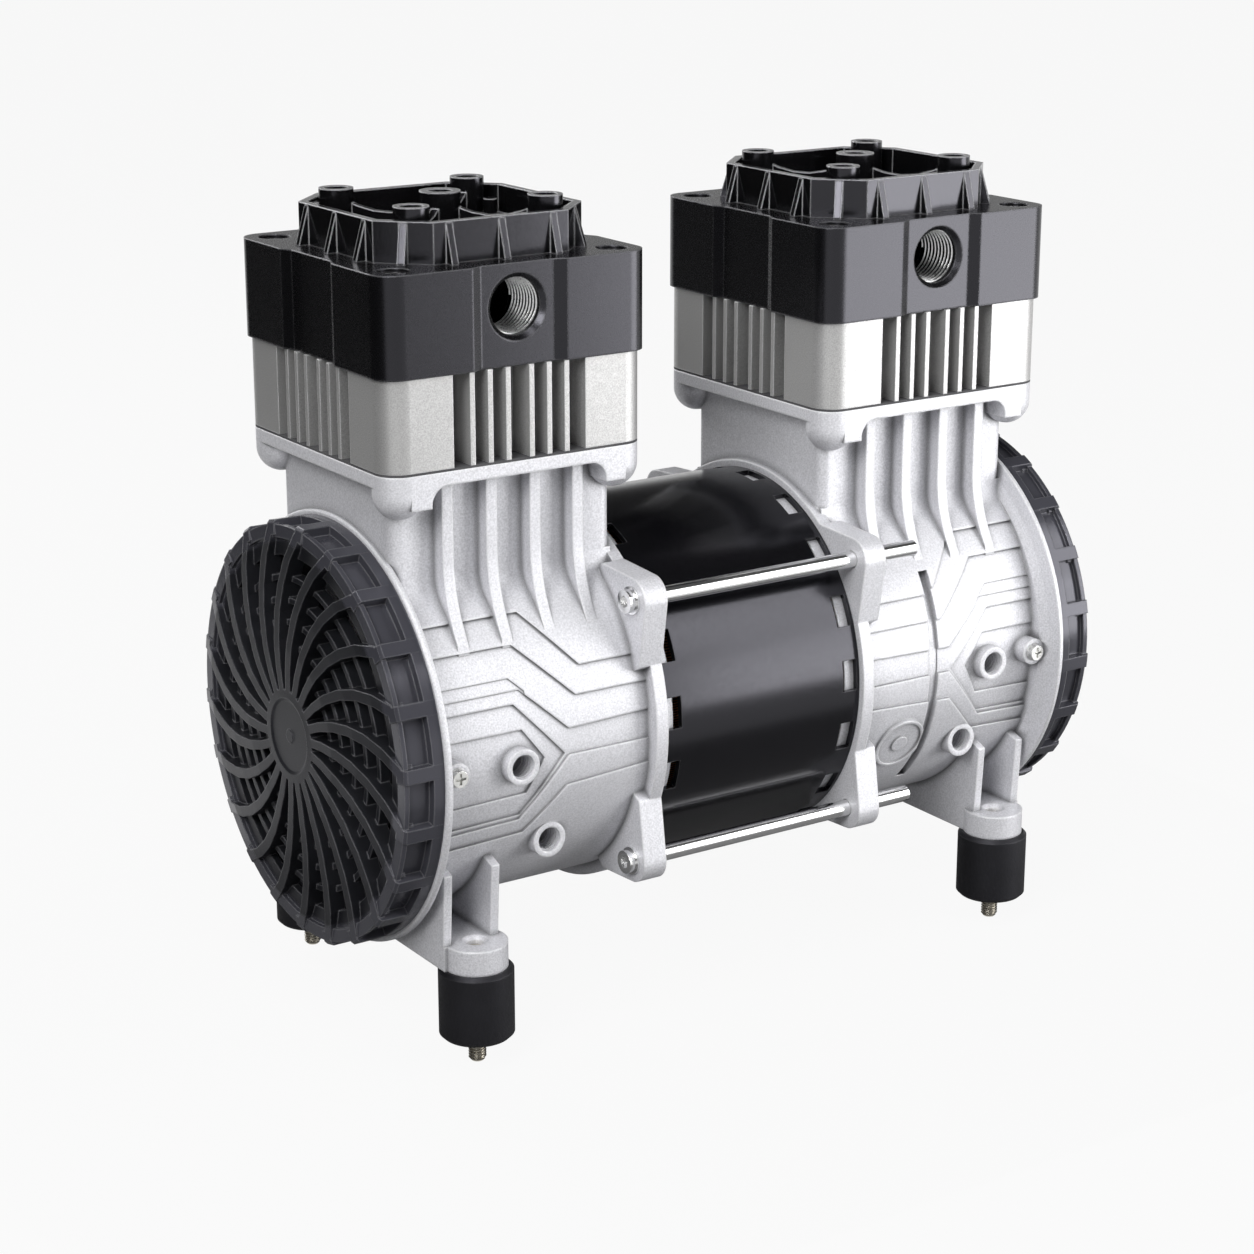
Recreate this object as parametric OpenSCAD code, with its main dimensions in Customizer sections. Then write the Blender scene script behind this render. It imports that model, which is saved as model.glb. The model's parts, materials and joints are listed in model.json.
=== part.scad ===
// Twin-cylinder oil-free piston vacuum pump.
// X runs along the motor shaft, the suction ports face -Y, Z is up.
// The origin lies under the middle of the pump, level with the tips of the foot studs.

/* [Feet] */
// Distance between the feet along the shaft
foot_pitch_x = 224; // [216:1:230]
// Distance between the feet across the shaft
foot_pitch_y = 118; // [112:1:124]
// Thread diameter of the foot studs
stud_d = 6; // [5:0.5:8]
// Length of stud that stands out below the rubber
stud_out = 9.5; // [6:0.5:20]
// Diameter of a rubber foot
rubber_d = 25.4; // [22:0.2:30]
// Height of a rubber foot
rubber_h = 24.8; // [18:0.2:36]
// Thickness of the cast foot bar and its pads
pad_t = 8.7; // [7:0.1:12]
// Diameter of a foot pad
pad_d = 21.6; // [19:0.2:24]

/* [Crankcase] */
// Radius of the crankcase barrel outside its sunk panels
barrel_r = 65.2; // [64:0.2:67]
// Wall of the barrel where it has no panels
barrel_wall = 6.2; // [5.8:0.2:7.4]
// Height of the barrel's lowest line above the underside of the foot bar
barrel_rise = 4.5; // [3:0.1:6]
// Depth of one step of the sunk panels
panel_step = 0.85; // [0.6:0.05:0.9]
// Radius of the rim that carries the fan guard
rim_r = 74; // [73:0.2:76]
// Distance from the cylinder's axis to the rim face
cyl_to_rim = 43.8; // [41.8:0.1:47]
// Thickness of the plate between motor and crankcase
plate_t = 9; // [8:0.5:10]
// Radius of the round part of that plate
plate_r = 68.5; // [68:0.1:70]
// Height of the deck that carries the cylinder above the shaft
deck_h = 96; // [92:0.5:104]
// Width of the neck along the shaft
neck_x = 84; // [82:0.5:88]
// Width of the neck across the shaft
neck_y = 76; // [74:0.5:80]

/* [Motor] */
// Distance between the two crankcase plates
motor_l = 83; // [80:0.5:100]
// Outer radius of the motor can
can_r = 66; // [65:0.2:67]
// Wall of the motor can
can_wall = 2; // [1.2:0.1:2.6]
// Number of vent windows round each end of the can
vents = 18; // [12:1:20]
// Diameter of the shaft in the main bearings
shaft_d = 17; // [16:0.5:18]
// Distance of the tie rods from the shaft across the pump
tie_y = 60; // [59:0.2:61]
// Distance of the tie rods above and below the shaft
tie_z = 46; // [45:0.2:47]
// Diameter of a tie rod
tie_d = 5.8; // [5:0.1:6]

/* [Cylinders] */
// Distance between the two cylinders
head_pitch = 172.4; // [170:0.2:176]
// Diameter of the cylinder bore
bore_d = 63; // [60:0.2:64]
// Distance from the shaft axis to the crank pin axis
crank_throw = 6; // [4:0.5:6.5]
// Side of the square finned cylinder block
block_w = 98; // [96:0.5:99.5]
// Height of the finned cylinder block
block_h = 30.2; // [28:0.2:40]
// Side of the square cylinder head
head_w = 100; // [98:0.5:102]
// Height of the cylinder head
head_h = 33; // [31:0.5:38]
// Height of the head cover's rim above the head
cover_h = 13.5; // [11:0.5:16]
// Height of the cover's screw bosses above the head
boss_h = 17; // [14:0.5:20]
// Diameter of the suction and discharge port bores
port_d = 18.6; // [15:0.2:19]
// Height of the port axis above the underside of the head
port_z = 18.8; // [17:0.2:20]

/* [Fan and guard] */
// Radius of the fan guard over its lugs
guard_lug_r = 72.4; // [71:0.2:73]
// Room between the fan's blades and the guard's spigot
fan_room = 3.5; // [2:0.5:7]
// Number of fan blades
blades = 8; // [5:1:11]
// Number of spiral ribs in the fan guard
ribs = 22; // [16:1:26]
// Number of rings in the fan guard
rings = 5; // [3:1:6]
// How far the fan guard stands out of the crankcase
guard_h = 18.5; // [17:0.5:22]

/* [Hidden] */

$fn = 96;
small_fn = 32;
fit = 0.1;              // radial room between parts that stay put
run = 0.05;             // radial room of a running fit
cut = 1;                // how far a cutting shape stands past a face

bore_in_r = barrel_r - barrel_wall;

// Levels
pad_z = stud_out + rubber_h;
pad_top_z = pad_z + pad_t;
shaft_z = pad_z + barrel_rise + barrel_r;
deck_z = shaft_z + deck_h;
gasket_t = 0.8;
block_z = deck_z + gasket_t;
head_z = block_z + block_h;
cover_z = head_z + head_h;

// Places along the shaft, counted from the pump's middle
plate_x = motor_l / 2;
cyl_x = head_pitch / 2;
rim_x = cyl_x + cyl_to_rim;
flange_x = rim_x - 4.6;
lip_t = 3;
bearing_r = 20;
bearing_w = 12;
bearing_x = plate_x + lip_t;
hub_end_x = bearing_x + bearing_w + 1;
hub_r = 26;

// Rolling bearings
ball_r = 2.6;
inner_ring_t = 3.05;
outer_ring_t = 3.1;
crank_bearing_in_r = 15;
crank_bearing_out_r = crank_bearing_in_r + 12.5;
crank_bearing_w = 13;
crank_ring_t = 3.55;

// Shaft steps
shaft_r = shaft_d / 2;
crank_seat_r = 7.5;
fan_seat_r = 6;
nut_thread_r = 4;
fan_w = 13;
fan_x0 = rim_x - 5 - fan_w;
shaft_end_x = fan_x0 + fan_w + 7;

// Cylinder and piston
bore_r = bore_d / 2;
liner_r = bore_r + 2.5;
liner_collar_r = liner_r + 1.5;
liner_collar_t = 3;
liner_below = 24;
valve_plate_t = 4;
valve_plate_r = liner_collar_r + 0.3;
seal_r = valve_plate_r + 1.3;
seal_t = 0.75;
block_core = seal_r + 1.4;
piston_play = 0.4;
piston_gap = 0.8;
piston_top_z = head_z - piston_gap;
piston_crown_t = 6;
piston_h = 36;
piston_wall = 4;
eye_r = 9;
pin_r = 5;
pin_l = 34;
open_pivot_room = 1;
pin_below_top = piston_crown_t + 2 * crank_throw + open_pivot_room + eye_r;
rod_l = piston_top_z - pin_below_top - crank_throw - shaft_z;
rod_big_r = crank_bearing_out_r + 5.5;
rod_t = 12;

// Deck, block and head
corner_r = 8.5;
corner_xy = 40.5;
deck_t = 4.5;
lug_below = 2.5;
head_screw_d = 6;
screw_head_r = 5;
screw_head_h = 6;
cover_boss_xy = 25;
cover_boss_r = 5.8;
cover_half = 39;
cover_chamfer = 14;
cover_floor_t = 4;

// Sunk panels of the crankcase: shift of the second pattern, where panels end, steps each lies deep
panel_shift = 7;
panel_out = rim_x - 4;
panel_in = plate_x + 4;
panel_levels = [2, 2.5, 3, 4, 5];

module side_of(side) {
    if (side > 0) children();
    else mirror([1, 0, 0]) children();
}

// A rod along the shaft's direction from x0 to x1
module axle(x0, x1, r, fn = 96) {
    translate([x0, 0, shaft_z]) rotate([0, 90, 0]) cylinder(h = x1 - x0, r = r, $fn = fn);
}

// Turns something about the shaft, which it is drawn around as if at z = 0
module rotate_about_shaft(a) {
    translate([0, 0, shaft_z]) rotate([a, 0, 0]) children();
}

// A tube along the shaft's direction
module sleeve(x0, x1, r_out, r_in) {
    difference() {
        axle(x0, x1, r_out);
        axle(x0 - cut, x1 + cut, r_in);
    }
}

// A rectangle with round corners, centred
module round_rect(w, d, r) {
    union() {
        square([w - 2 * r, d], center = true);
        square([w, d - 2 * r], center = true);
        for (sx = [-1, 1], sy = [-1, 1])
            translate([sx * (w / 2 - r), sy * (d / 2 - r)]) circle(r = r);
    }
}

module four_corners(xy) {
    for (sx = [-1, 1], sy = [-1, 1])
        translate([sx * xy, sy * xy, 0]) children();
}

module ring_balls(x_mid, pitch_r, count) {
    for (i = [0 : count - 1])
        translate([x_mid, pitch_r * sin(i * 360 / count), shaft_z + pitch_r * cos(i * 360 / count)])
            sphere(r = ball_r, $fn = small_fn);
}

// Crankcase

upper_outline = [[panel_out, 45], [87.6, 45], [71, 27.3], [panel_in, 27.3], [panel_in, 80], [panel_out, 80]];

function panel_outline(k) =
    k == 0 ? [[panel_out, 36.3], [93.6, 36.3], [74, 18.1], [panel_in, 18.1],
              [panel_in, -10], [78.2, -12], [92.9, -27.2], [panel_out, -28.6]]
    : k == 1 ? [[panel_out, 26.7], [97.6, 26.7], [92.5, 22], [92.5, 10], [panel_out, 10]]
    : k == 2 ? [[panel_out, 22.6], [94.4, 22.6], [77.4, 7.4], [panel_in, 8.4],
                [panel_in, -1.6], [77.6, -1.6], [94.9, -21.9], [panel_out, -23]]
    : k == 3 ? [[panel_out, 18.3], [97, 18.3], [78.8, -1.1], [94.4, -20.4], [panel_out, -21.4]]
    : [[panel_out, 9.5], [94.5, 9.5], [86.2, -1.4], [92.5, -12.8], [panel_out, -13.7]];

// An outline extruded from the shaft's plane out through the +Y flank; its inner corners are shifted
module flank_prism(outline, shift) {
    translate([0, rim_r, shaft_z])
        rotate([90, 0, 0])
            linear_extrude(height = rim_r)
                polygon([for (p = outline)
                    [p[0] == panel_in || p[0] == panel_out ? p[0] : p[0] + shift, p[1]]]);
}

// The barrel: full size above the panels, one step smaller below, and stepped down towards the middle
module barrel() {
    difference() {
        union() {
            axle(panel_in, rim_x - 3, barrel_r - panel_step);
            for (m = [0, 1])
                mirror([0, m, 0])
                    intersection() {
                        axle(panel_in, panel_out, barrel_r);
                        flank_prism(upper_outline, m * panel_shift);
                    }
        }
        for (m = [0, 1], k = [0 : len(panel_levels) - 1])
            mirror([0, m, 0])
                difference() {
                    flank_prism(panel_outline(k), m * panel_shift);
                    axle(panel_in - cut, panel_out + cut, barrel_r - panel_levels[k] * panel_step);
                }
    }
}

// Threaded side holes as (distance, height), beside the plain and beside the shifted panels
side_hole_r = 4.25;
side_hole_face = barrel_r - 0.2;
side_hole_l = 10;
side_boss_r = 6.2;
lower_hole_in = 5.9;
holes_plain = [[96.3, -2], [82.9, -31.8]];
holes_shifted = [[104, -1.8], [95, -31]];

function side_face(hole) = abs(hole[1]) < 10 ? side_hole_face : side_hole_face - lower_hole_in;

module side_boss(hole, flank) {
    translate([hole[0], flank * (side_face(hole) + 2), shaft_z + hole[1]])
        rotate([flank * 90, 0, 0]) cylinder(h = side_hole_l + 4, r = side_boss_r);
}

// The threaded hole and the flat round its mouth
module side_hole(hole, flank) {
    translate([hole[0], flank * (side_face(hole) + cut), shaft_z + hole[1]])
        rotate([flank * 90, 0, 0]) cylinder(h = side_hole_l + cut, r = side_hole_r);
    translate([hole[0], flank * rim_r, shaft_z + hole[1]])
        rotate([flank * 90, 0, 0]) cylinder(h = rim_r - side_face(hole), r = side_boss_r + 0.2);
}

// Where the guard's screws go: a small boss with a spot face
guard_screw_x = rim_x - 8;
guard_screw_seat = barrel_r + 1.2;
guard_boss_r = 4.8;

module guard_screw_boss(flank) {
    translate([guard_screw_x, flank * (guard_screw_seat + 1), shaft_z])
        rotate([flank * 90, 0, 0]) cylinder(h = guard_screw_seat + 0.5 - bore_in_r, r = guard_boss_r);
}

module guard_screw_hole(flank) {
    translate([guard_screw_x, flank * (rim_r + cut), shaft_z])
        rotate([flank * 90, 0, 0]) {
            cylinder(h = rim_r + cut - guard_screw_seat, r = guard_boss_r + 0.2);
            cylinder(h = rim_r + cut - bore_in_r + 2, r = 2 + fit);
        }
}

// A shallow groove across the flank and a plain round casting mark beside it
groove_x = 77.5;
groove_below = 45;
groove_above = 35;
mark_x = 66;
mark_below = 24.5;

module flank_groove() {
    intersection() {
        sleeve(groove_x - 2, groove_x + 2, rim_r, barrel_r - 3.5 * panel_step);
        translate([groove_x - 3, -rim_r, shaft_z - groove_below])
            cube([6, rim_r, groove_below + groove_above]);
    }
}

module casting_mark() {
    rotate_about_shaft(mark_below)
        translate([mark_x, 2 + panel_step - barrel_r, 0])
            rotate([90, 0, 0]) {
                difference() {
                    cylinder(h = 2.7, r = 10.5);
                    translate([0, 0, 2]) cylinder(h = 1, r = 9.2);
                }
                cylinder(h = 2.7, r = 3.4);
            }
}

module ear_plate() {
    for (sy = [-1, 1], sz = [-1, 1])
        hull() {
            translate([sz * tie_z, sy * tie_y]) circle(r = 7.6, $fn = small_fn);
            translate([sz * 24, sy * 63.5]) circle(r = 0.8, $fn = small_fn);
            translate([sz * (tie_z + 7.8), sy * 42]) circle(r = 0.8, $fn = small_fn);
            circle(r = 10, $fn = small_fn);
        }
    circle(r = bore_in_r + 1);
}

// The neck that carries the deck, with the hollow curve in which its walls run out onto the barrel
neck_corner_r = 4;
neck_fillet_r = 12;
neck_foot_h = 30;

module neck() {
    half = neck_y / 2;
    centre_y = half + neck_fillet_r;
    centre_z = sqrt(pow(barrel_r + neck_fillet_r, 2) - pow(centre_y, 2));
    into_barrel = (barrel_r - 1) / (barrel_r + neck_fillet_r);
    translate([cyl_x, 0, shaft_z + neck_foot_h])
        linear_extrude(height = deck_h - neck_foot_h - deck_t / 2)
            round_rect(neck_x, neck_y, neck_corner_r);
    for (sy = [-1, 1])
        translate([cyl_x - neck_x / 2 + 0.5, 0, shaft_z])
            rotate([90, 0, 90])
                linear_extrude(height = neck_x - 1)
                    difference() {
                        polygon([[sy * (half - 1), centre_z], [sy * centre_y, centre_z],
                                 [sy * centre_y * into_barrel, centre_z * into_barrel],
                                 [sy * (half - 1), centre_z - 20]]);
                        translate([sy * centre_y, centre_z]) circle(r = neck_fillet_r);
                    }
}

// Ribs on the neck: straight at the top, then running out in a hollow curve onto the barrel
rib_out = 6;
rib_bend = 66;
rib_foot = [53, 35.5];

function rib_edge(h) = neck_y / 2 + rib_out + (h < rib_bend ? pow(rib_bend - h, 2) / 87 : 0);

module neck_ribs() {
    top = deck_h - deck_t;
    for (sy = [-1, 1], dx = [-24.75, -8.25, 8.25, 24.75])
        translate([cyl_x + dx - 2, 0, shaft_z])
            rotate([90, 0, 90])
                linear_extrude(height = 4)
                    polygon(concat([[sy * 30, top]], [[sy * rib_edge(top), top]],
                                   [for (h = [rib_bend : -3 : 39]) [sy * rib_edge(h), h]],
                                   [[sy * rib_foot[0], rib_foot[1]]], [[sy * 30, rib_foot[1]]]));
}

// The round-bottomed lug under a corner of the deck
module corner_lug() {
    rotate_extrude()
        intersection() {
            translate([0, -corner_r]) square([corner_r, corner_r + lug_below + 1]);
            union() {
                circle(r = corner_r);
                square([corner_r - 0.01, lug_below + 1]);
            }
        }
}

// The web under the deck that curves down to the corner lugs
apron_gap = 33;
apron_r = 6;

module deck_apron() {
    half = block_w / 2;
    drop = apron_r + 1;
    for (sy = [-1, 1])
        translate([cyl_x, sy > 0 ? half : -neck_y / 2, deck_z - deck_t])
            rotate([90, 0, 0])
                linear_extrude(height = half - neck_y / 2)
                    difference() {
                        translate([-half + corner_r, -drop]) square([2 * (half - corner_r), drop]);
                        translate([-apron_gap, -2 * drop]) square([2 * apron_gap, 2 * drop - apron_r]);
                        translate([apron_r - apron_gap, -2 * drop])
                            square([2 * (apron_gap - apron_r), 2 * drop]);
                        for (sx = [-1, 1])
                            translate([sx * (apron_gap - apron_r), -apron_r]) circle(r = apron_r);
                    }
}

module foot_side(sy) {
    px = foot_pitch_x / 2;
    py = sy * foot_pitch_y / 2;
    translate([px, py, pad_z]) cylinder(h = pad_t, r = pad_d / 2);
    for (x = [px - 9, px + 9])
        translate([x, 0, 0])
            rotate([90, 0, 90])
                linear_extrude(height = 3)
                    polygon([[sy * 20, pad_z + 1], [sy * 58.5, pad_z + 1], [sy * 58.5, pad_top_z],
                             [sy * 60, shaft_z - 36], [sy * 52, shaft_z - 33], [sy * 20, shaft_z - 50]]);
}

module crankcase() {
    half = block_w / 2;
    px = foot_pitch_x / 2;
    difference() {
        union() {
            barrel();
            translate([0, 0, shaft_z])
                rotate([0, 90, 0])
                    rotate_extrude()
                        polygon([[bore_in_r + 0.7, flange_x], [barrel_r + 0.4, flange_x],
                                 [barrel_r + 4, flange_x + 1.6], [rim_r, flange_x + 2.6],
                                 [rim_r, rim_x - 0.6], [rim_r - 0.6, rim_x], [bore_in_r + 0.7, rim_x]]);
            axle(plate_x, plate_x + 4.6, plate_r);
            translate([plate_x, 0, shaft_z])
                rotate([0, 90, 0]) linear_extrude(height = plate_t) ear_plate();
            neck();
            neck_ribs();
            deck_apron();
            translate([cyl_x, 0, deck_z - deck_t])
                linear_extrude(height = deck_t) round_rect(block_w, block_w, corner_r);
            translate([cyl_x, 0, deck_z - deck_t - lug_below])
                four_corners(corner_xy) corner_lug();
            translate([px - 9, -foot_pitch_y / 2, pad_z]) cube([21, foot_pitch_y, pad_t]);
            foot_side(-1);
            foot_side(1);
        }
        axle(plate_x + plate_t - 3, rim_x + cut, bore_in_r);
        translate([cyl_x, 0, shaft_z]) cylinder(h = deck_h - deck_t, r = liner_r + 1.5);
        translate([cyl_x, 0, deck_z - deck_t - cut]) cylinder(h = deck_t + 2 * cut, r = liner_r + fit);
        for (sy = [-1, 1], sz = [-1, 1])
            translate([plate_x - cut, sy * tie_y, shaft_z + sz * tie_z])
                rotate([0, 90, 0]) cylinder(h = plate_t + 2 * cut, r = tie_d / 2 + fit);
        for (a = [0 : 60 : 300])
            translate([plate_x - cut, 0, shaft_z])
                rotate([a, 0, 0]) translate([0, 43, 0])
                    rotate([0, 90, 0]) cylinder(h = plate_t + 2 * cut, r = 9);
        translate([cyl_x, 0, deck_z - 7])
            four_corners(corner_xy) cylinder(h = 7 + cut, r = head_screw_d / 2 + fit);
        for (sy = [-1, 1])
            translate([px, sy * foot_pitch_y / 2, pad_z - cut]) {
                cylinder(h = pad_t + 2 * cut, r = stud_d / 2 + fit);
                translate([0, 0, pad_t + cut - 1.2]) cylinder(h = 1.3, r1 = stud_d / 2 + fit, r2 = 4.4);
            }
    }
}

// Bearing hub inside the crankcase and the spigot that centres the motor can
module crankcase_inside() {
    axle(plate_x, hub_end_x, hub_r);
    sleeve(plate_x - 5, plate_x + 1, can_r - can_wall - fit, can_r - can_wall - 3.5);
}

module crankcase_casting() {
    color("#b9bbbf")
        difference() {
            union() {
                crankcase();
                crankcase_inside();
                intersection() {
                    union() {
                        for (h = holes_plain) side_boss(h, 1);
                        for (h = holes_shifted) side_boss(h, -1);
                        for (flank = [-1, 1]) guard_screw_boss(flank);
                    }
                    axle(plate_x, rim_x - 1, rim_r - 1);
                }
                casting_mark();
            }
            for (h = holes_plain) side_hole(h, 1);
            for (h = holes_shifted) side_hole(h, -1);
            for (flank = [-1, 1]) guard_screw_hole(flank);
            flank_groove();
            axle(bearing_x, hub_end_x + cut, bearing_r);
            axle(plate_x - cut, bearing_x + cut, 12);
        }
}

module crankcase_left() {
    rotate([0, 0, 180]) crankcase_casting();
}

module crankcase_right() {
    crankcase_casting();
}

// Cylinder stack: gasket, finned block, liner, valve plate, reeds, seal, head and cover

module at_cylinder(z) {
    translate([cyl_x, 0, z]) children();
}

module base_gasket(side) {
    color("#3a3a3c")
        side_of(side) at_cylinder(deck_z)
            linear_extrude(height = gasket_t)
                difference() {
                    round_rect(block_w, block_w, corner_r);
                    circle(r = liner_r + fit);
                    four_corners(corner_xy) circle(r = head_screw_d / 2 + fit);
                }
}

fin_t = 1.8;
fin_places = [-17.7, -11.05, -4.4, 4.4, 11.05, 17.7];
corner_block = 24.8;

module block_section() {
    half = block_w / 2;
    difference() {
        round_rect(block_w, block_w, corner_r);
        for (a = [0 : 90 : 270])
            rotate(a) translate([-corner_block, block_core]) square([2 * corner_block, block_w]);
        circle(r = liner_r + fit);
        four_corners(corner_xy) circle(r = head_screw_d / 2 + fit);
    }
    for (a = [0 : 90 : 270], x = fin_places)
        rotate(a) translate([x - fin_t / 2, block_core - 0.5]) square([fin_t, half - block_core + 0.5]);
}

module cylinder_block(side) {
    color("#c9cbce")
        side_of(side) at_cylinder(block_z)
            difference() {
                linear_extrude(height = block_h) block_section();
                translate([0, 0, block_h - liner_collar_t])
                    cylinder(h = liner_collar_t + cut, r = liner_collar_r + fit);
            }
}

module cylinder_liner(side) {
    color("#d2d4d6")
        side_of(side) at_cylinder(deck_z - liner_below)
            rotate_extrude()
                polygon([[bore_r, 1], [bore_r + 1, 0], [liner_r, 0],
                         [liner_r, head_z - deck_z + liner_below - liner_collar_t],
                         [liner_collar_r, head_z - deck_z + liner_below - liner_collar_t],
                         [liner_collar_r, head_z - deck_z + liner_below],
                         [bore_r, head_z - deck_z + liner_below]]);
}

valve_hole_r = 3;
valve_hole_x = 10;
valve_hole_y = 18;

module valve_plate(side) {
    color("#a9acb0")
        side_of(side) at_cylinder(head_z)
            difference() {
                cylinder(h = valve_plate_t, r = valve_plate_r);
                for (x = [-valve_hole_x, 0, valve_hole_x], y = [-valve_hole_y, valve_hole_y])
                    translate([x, y, -cut]) cylinder(h = valve_plate_t + 2 * cut, r = valve_hole_r);
            }
}

reed_t = 0.25;

// A comb of three spring tongues that lie over the valve holes
module reed(flank) {
    linear_extrude(height = reed_t) {
        translate([-14, flank > 0 ? 5 : -9]) square([28, 4]);
        for (x = [-valve_hole_x, 0, valve_hole_x]) {
            translate([x - 3.5, flank > 0 ? 8 : -valve_hole_y]) square([7, valve_hole_y - 8]);
            translate([x, flank * valve_hole_y]) circle(r = 3.9);
        }
    }
}

module reed_valves(side) {
    color("#8f969c")
        side_of(side) {
            at_cylinder(head_z - reed_t) reed(-1);
            at_cylinder(head_z + valve_plate_t) reed(1);
        }
}

module head_seal(side) {
    color("#1c1c1e")
        side_of(side) at_cylinder(head_z + seal_t)
            rotate_extrude() translate([seal_r, 0]) circle(r = seal_t, $fn = small_fn);
}

port_floor = head_w / 2 - 2;
port_depth = 30;
port_mouth_r = port_d / 2 + 1.7;
chamber = [14, 3, 27];

module cylinder_head(side) {
    half = head_w / 2;
    color("#2a2a2e")
        side_of(side) at_cylinder(head_z)
            difference() {
                linear_extrude(height = head_h)
                    difference() {
                        round_rect(head_w, head_w, 8);
                        for (a = [0 : 90 : 270])
                            rotate(a)
                                polygon([[-17.8, -half - cut], [-17.5, -half], [-13.5, -port_floor],
                                         [13.5, -port_floor], [17.5, -half], [17.8, -half - cut]]);
                    }
                translate([0, 0, -cut]) cylinder(h = valve_plate_t + cut, r = valve_plate_r + fit);
                translate([0, 0, -cut])
                    difference() {
                        cylinder(h = 2 * seal_t + cut, r = seal_r + seal_t + 0.1);
                        translate([0, 0, -cut])
                            cylinder(h = 2 * seal_t + 3 * cut, r = seal_r - seal_t - 0.1);
                    }
                for (sy = [-1, 1]) {
                    translate([-chamber[0], sy > 0 ? chamber[1] : -chamber[2], valve_plate_t - cut])
                        cube([2 * chamber[0], chamber[2] - chamber[1], head_h - valve_plate_t - 4 + cut]);
                    translate([0, sy * (port_floor + cut), port_z])
                        rotate([sy * 90, 0, 0]) cylinder(h = port_depth + cut, r = port_d / 2);
                    translate([0, sy * (port_floor + 0.01), port_z])
                        rotate([sy * 90, 0, 0]) cylinder(h = 1.7, r1 = port_mouth_r, r2 = port_d / 2 - 0.01);
                }
                four_corners(corner_xy) {
                    translate([0, 0, -cut]) cylinder(h = head_h + 2 * cut, r = head_screw_d / 2 + fit);
                    translate([0, 0, head_h - screw_head_h - 1])
                        cylinder(h = screw_head_h + 1 + cut, r = screw_head_r + 0.3);
                }
                for (p = cover_screw_places)
                    translate([p[0], p[1], head_h - 10]) cylinder(h = 10 + cut, r = cover_screw_r + fit);
            }
}

cover_screw_r = 2;
cover_screw_places = [[0, 0], [-cover_boss_xy, -cover_boss_xy], [-cover_boss_xy, cover_boss_xy],
                      [cover_boss_xy, -cover_boss_xy], [cover_boss_xy, cover_boss_xy]];
cover_well_r = 3.9;
cover_well_h = 4;
cover_wall = 2.5;
buttress_out = 3.6;

function octagon(half, ch) =
    [[half, half - ch], [half - ch, half], [ch - half, half], [-half, half - ch],
     [-half, ch - half], [ch - half, -half], [half - ch, -half], [half, ch - half]];

// A thin triangular prop that leans against the cover's wall at a distance from the middle
module buttress(reach, t) {
    translate([reach - 1.5, t / 2, 0])
        rotate([90, 0, 0])
            linear_extrude(height = t)
                polygon([[0, 0], [1.5 + buttress_out, 0], [1.5 + buttress_out, 0.6], [1.6, cover_h - 0.6],
                         [0, cover_h - 0.6]]);
}

// One arm of the cross in the cover: it sags between the middle and the corner boss
arm_t = 2.6;

function arm_top(d) =
    d > cover_boss_xy * sqrt(2) ? cover_h - 1.5 : boss_h - 2.5 - 5 * sin(180 * d / (cover_boss_xy * sqrt(2)));

module cover_arm(reach) {
    translate([0, arm_t / 2, 1])
        rotate([90, 0, 0])
            linear_extrude(height = arm_t)
                polygon(concat([[reach, 0], [0, 0]],
                               [for (i = [0 : 8]) [i * reach / 8, arm_top(i * reach / 8) - 1]]));
}

module head_cover(side) {
    corner_reach = (2 * cover_half - cover_chamfer) / sqrt(2);
    color("#0e0e10")
        side_of(side) at_cylinder(cover_z)
            difference() {
                union() {
                    linear_extrude(height = cover_floor_t) polygon(octagon(cover_half, cover_chamfer));
                    linear_extrude(height = cover_h)
                        difference() {
                            polygon(octagon(cover_half, cover_chamfer));
                            polygon(octagon(cover_half - cover_wall, cover_chamfer - 1));
                        }
                    for (a = [0 : 90 : 270])
                        rotate([0, 0, a]) {
                            for (y = [-19.3, 0, 19.3]) translate([0, y, 0]) buttress(cover_half, 2.4);
                            rotate([0, 0, 45]) buttress(corner_reach, 2.6);
                        }
                    for (p = cover_screw_places)
                        translate([p[0], p[1], 0])
                            cylinder(h = boss_h, r = p[0] == 0 ? cover_boss_r + 1 : cover_boss_r);
                    for (a = [45 : 90 : 315]) {
                        rotate([0, 0, a]) cover_arm(corner_reach - 1);
                        rotate([0, 0, a]) translate([cover_boss_xy * sqrt(2) - 2, 8.6, 1])
                            cylinder(h = 9, r = 2.3, $fn = small_fn);
                    }
                }
                for (p = cover_screw_places)
                    translate([p[0], p[1], 0]) {
                        translate([0, 0, -cut]) cylinder(h = boss_h + 2 * cut, r = cover_screw_r + fit);
                        translate([0, 0, boss_h - cover_well_h])
                            cylinder(h = cover_well_h + cut, r = cover_well_r);
                    }
            }
}

// A socket-head screw that points down, its head's underside at z = 0
module cap_screw(l, r, head_r, head_h) {
    difference() {
        union() {
            translate([0, 0, -l]) cylinder(h = l + 1, r = r, $fn = small_fn);
            cylinder(h = head_h, r = head_r, $fn = small_fn);
        }
        translate([0, 0, head_h * 0.45]) cylinder(h = head_h, r = head_r * 0.55, $fn = 6);
    }
}

module head_screws(side) {
    seat = cover_z - screw_head_h - 1;
    color("#b0b3b7")
        side_of(side) at_cylinder(seat)
            four_corners(corner_xy)
                cap_screw(seat - deck_z + 6.5, head_screw_d / 2, screw_head_r, screw_head_h);
}

module cover_screws(side) {
    color("#3c3d40")
        side_of(side) at_cylinder(cover_z + boss_h - cover_well_h)
            for (p = cover_screw_places)
                translate([p[0], p[1], 0])
                    cap_screw(boss_h - cover_well_h + 9, cover_screw_r, cover_well_r - 0.3, 3.2);
}

// Fan guard, its foot on the rim face and its z running outwards

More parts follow.
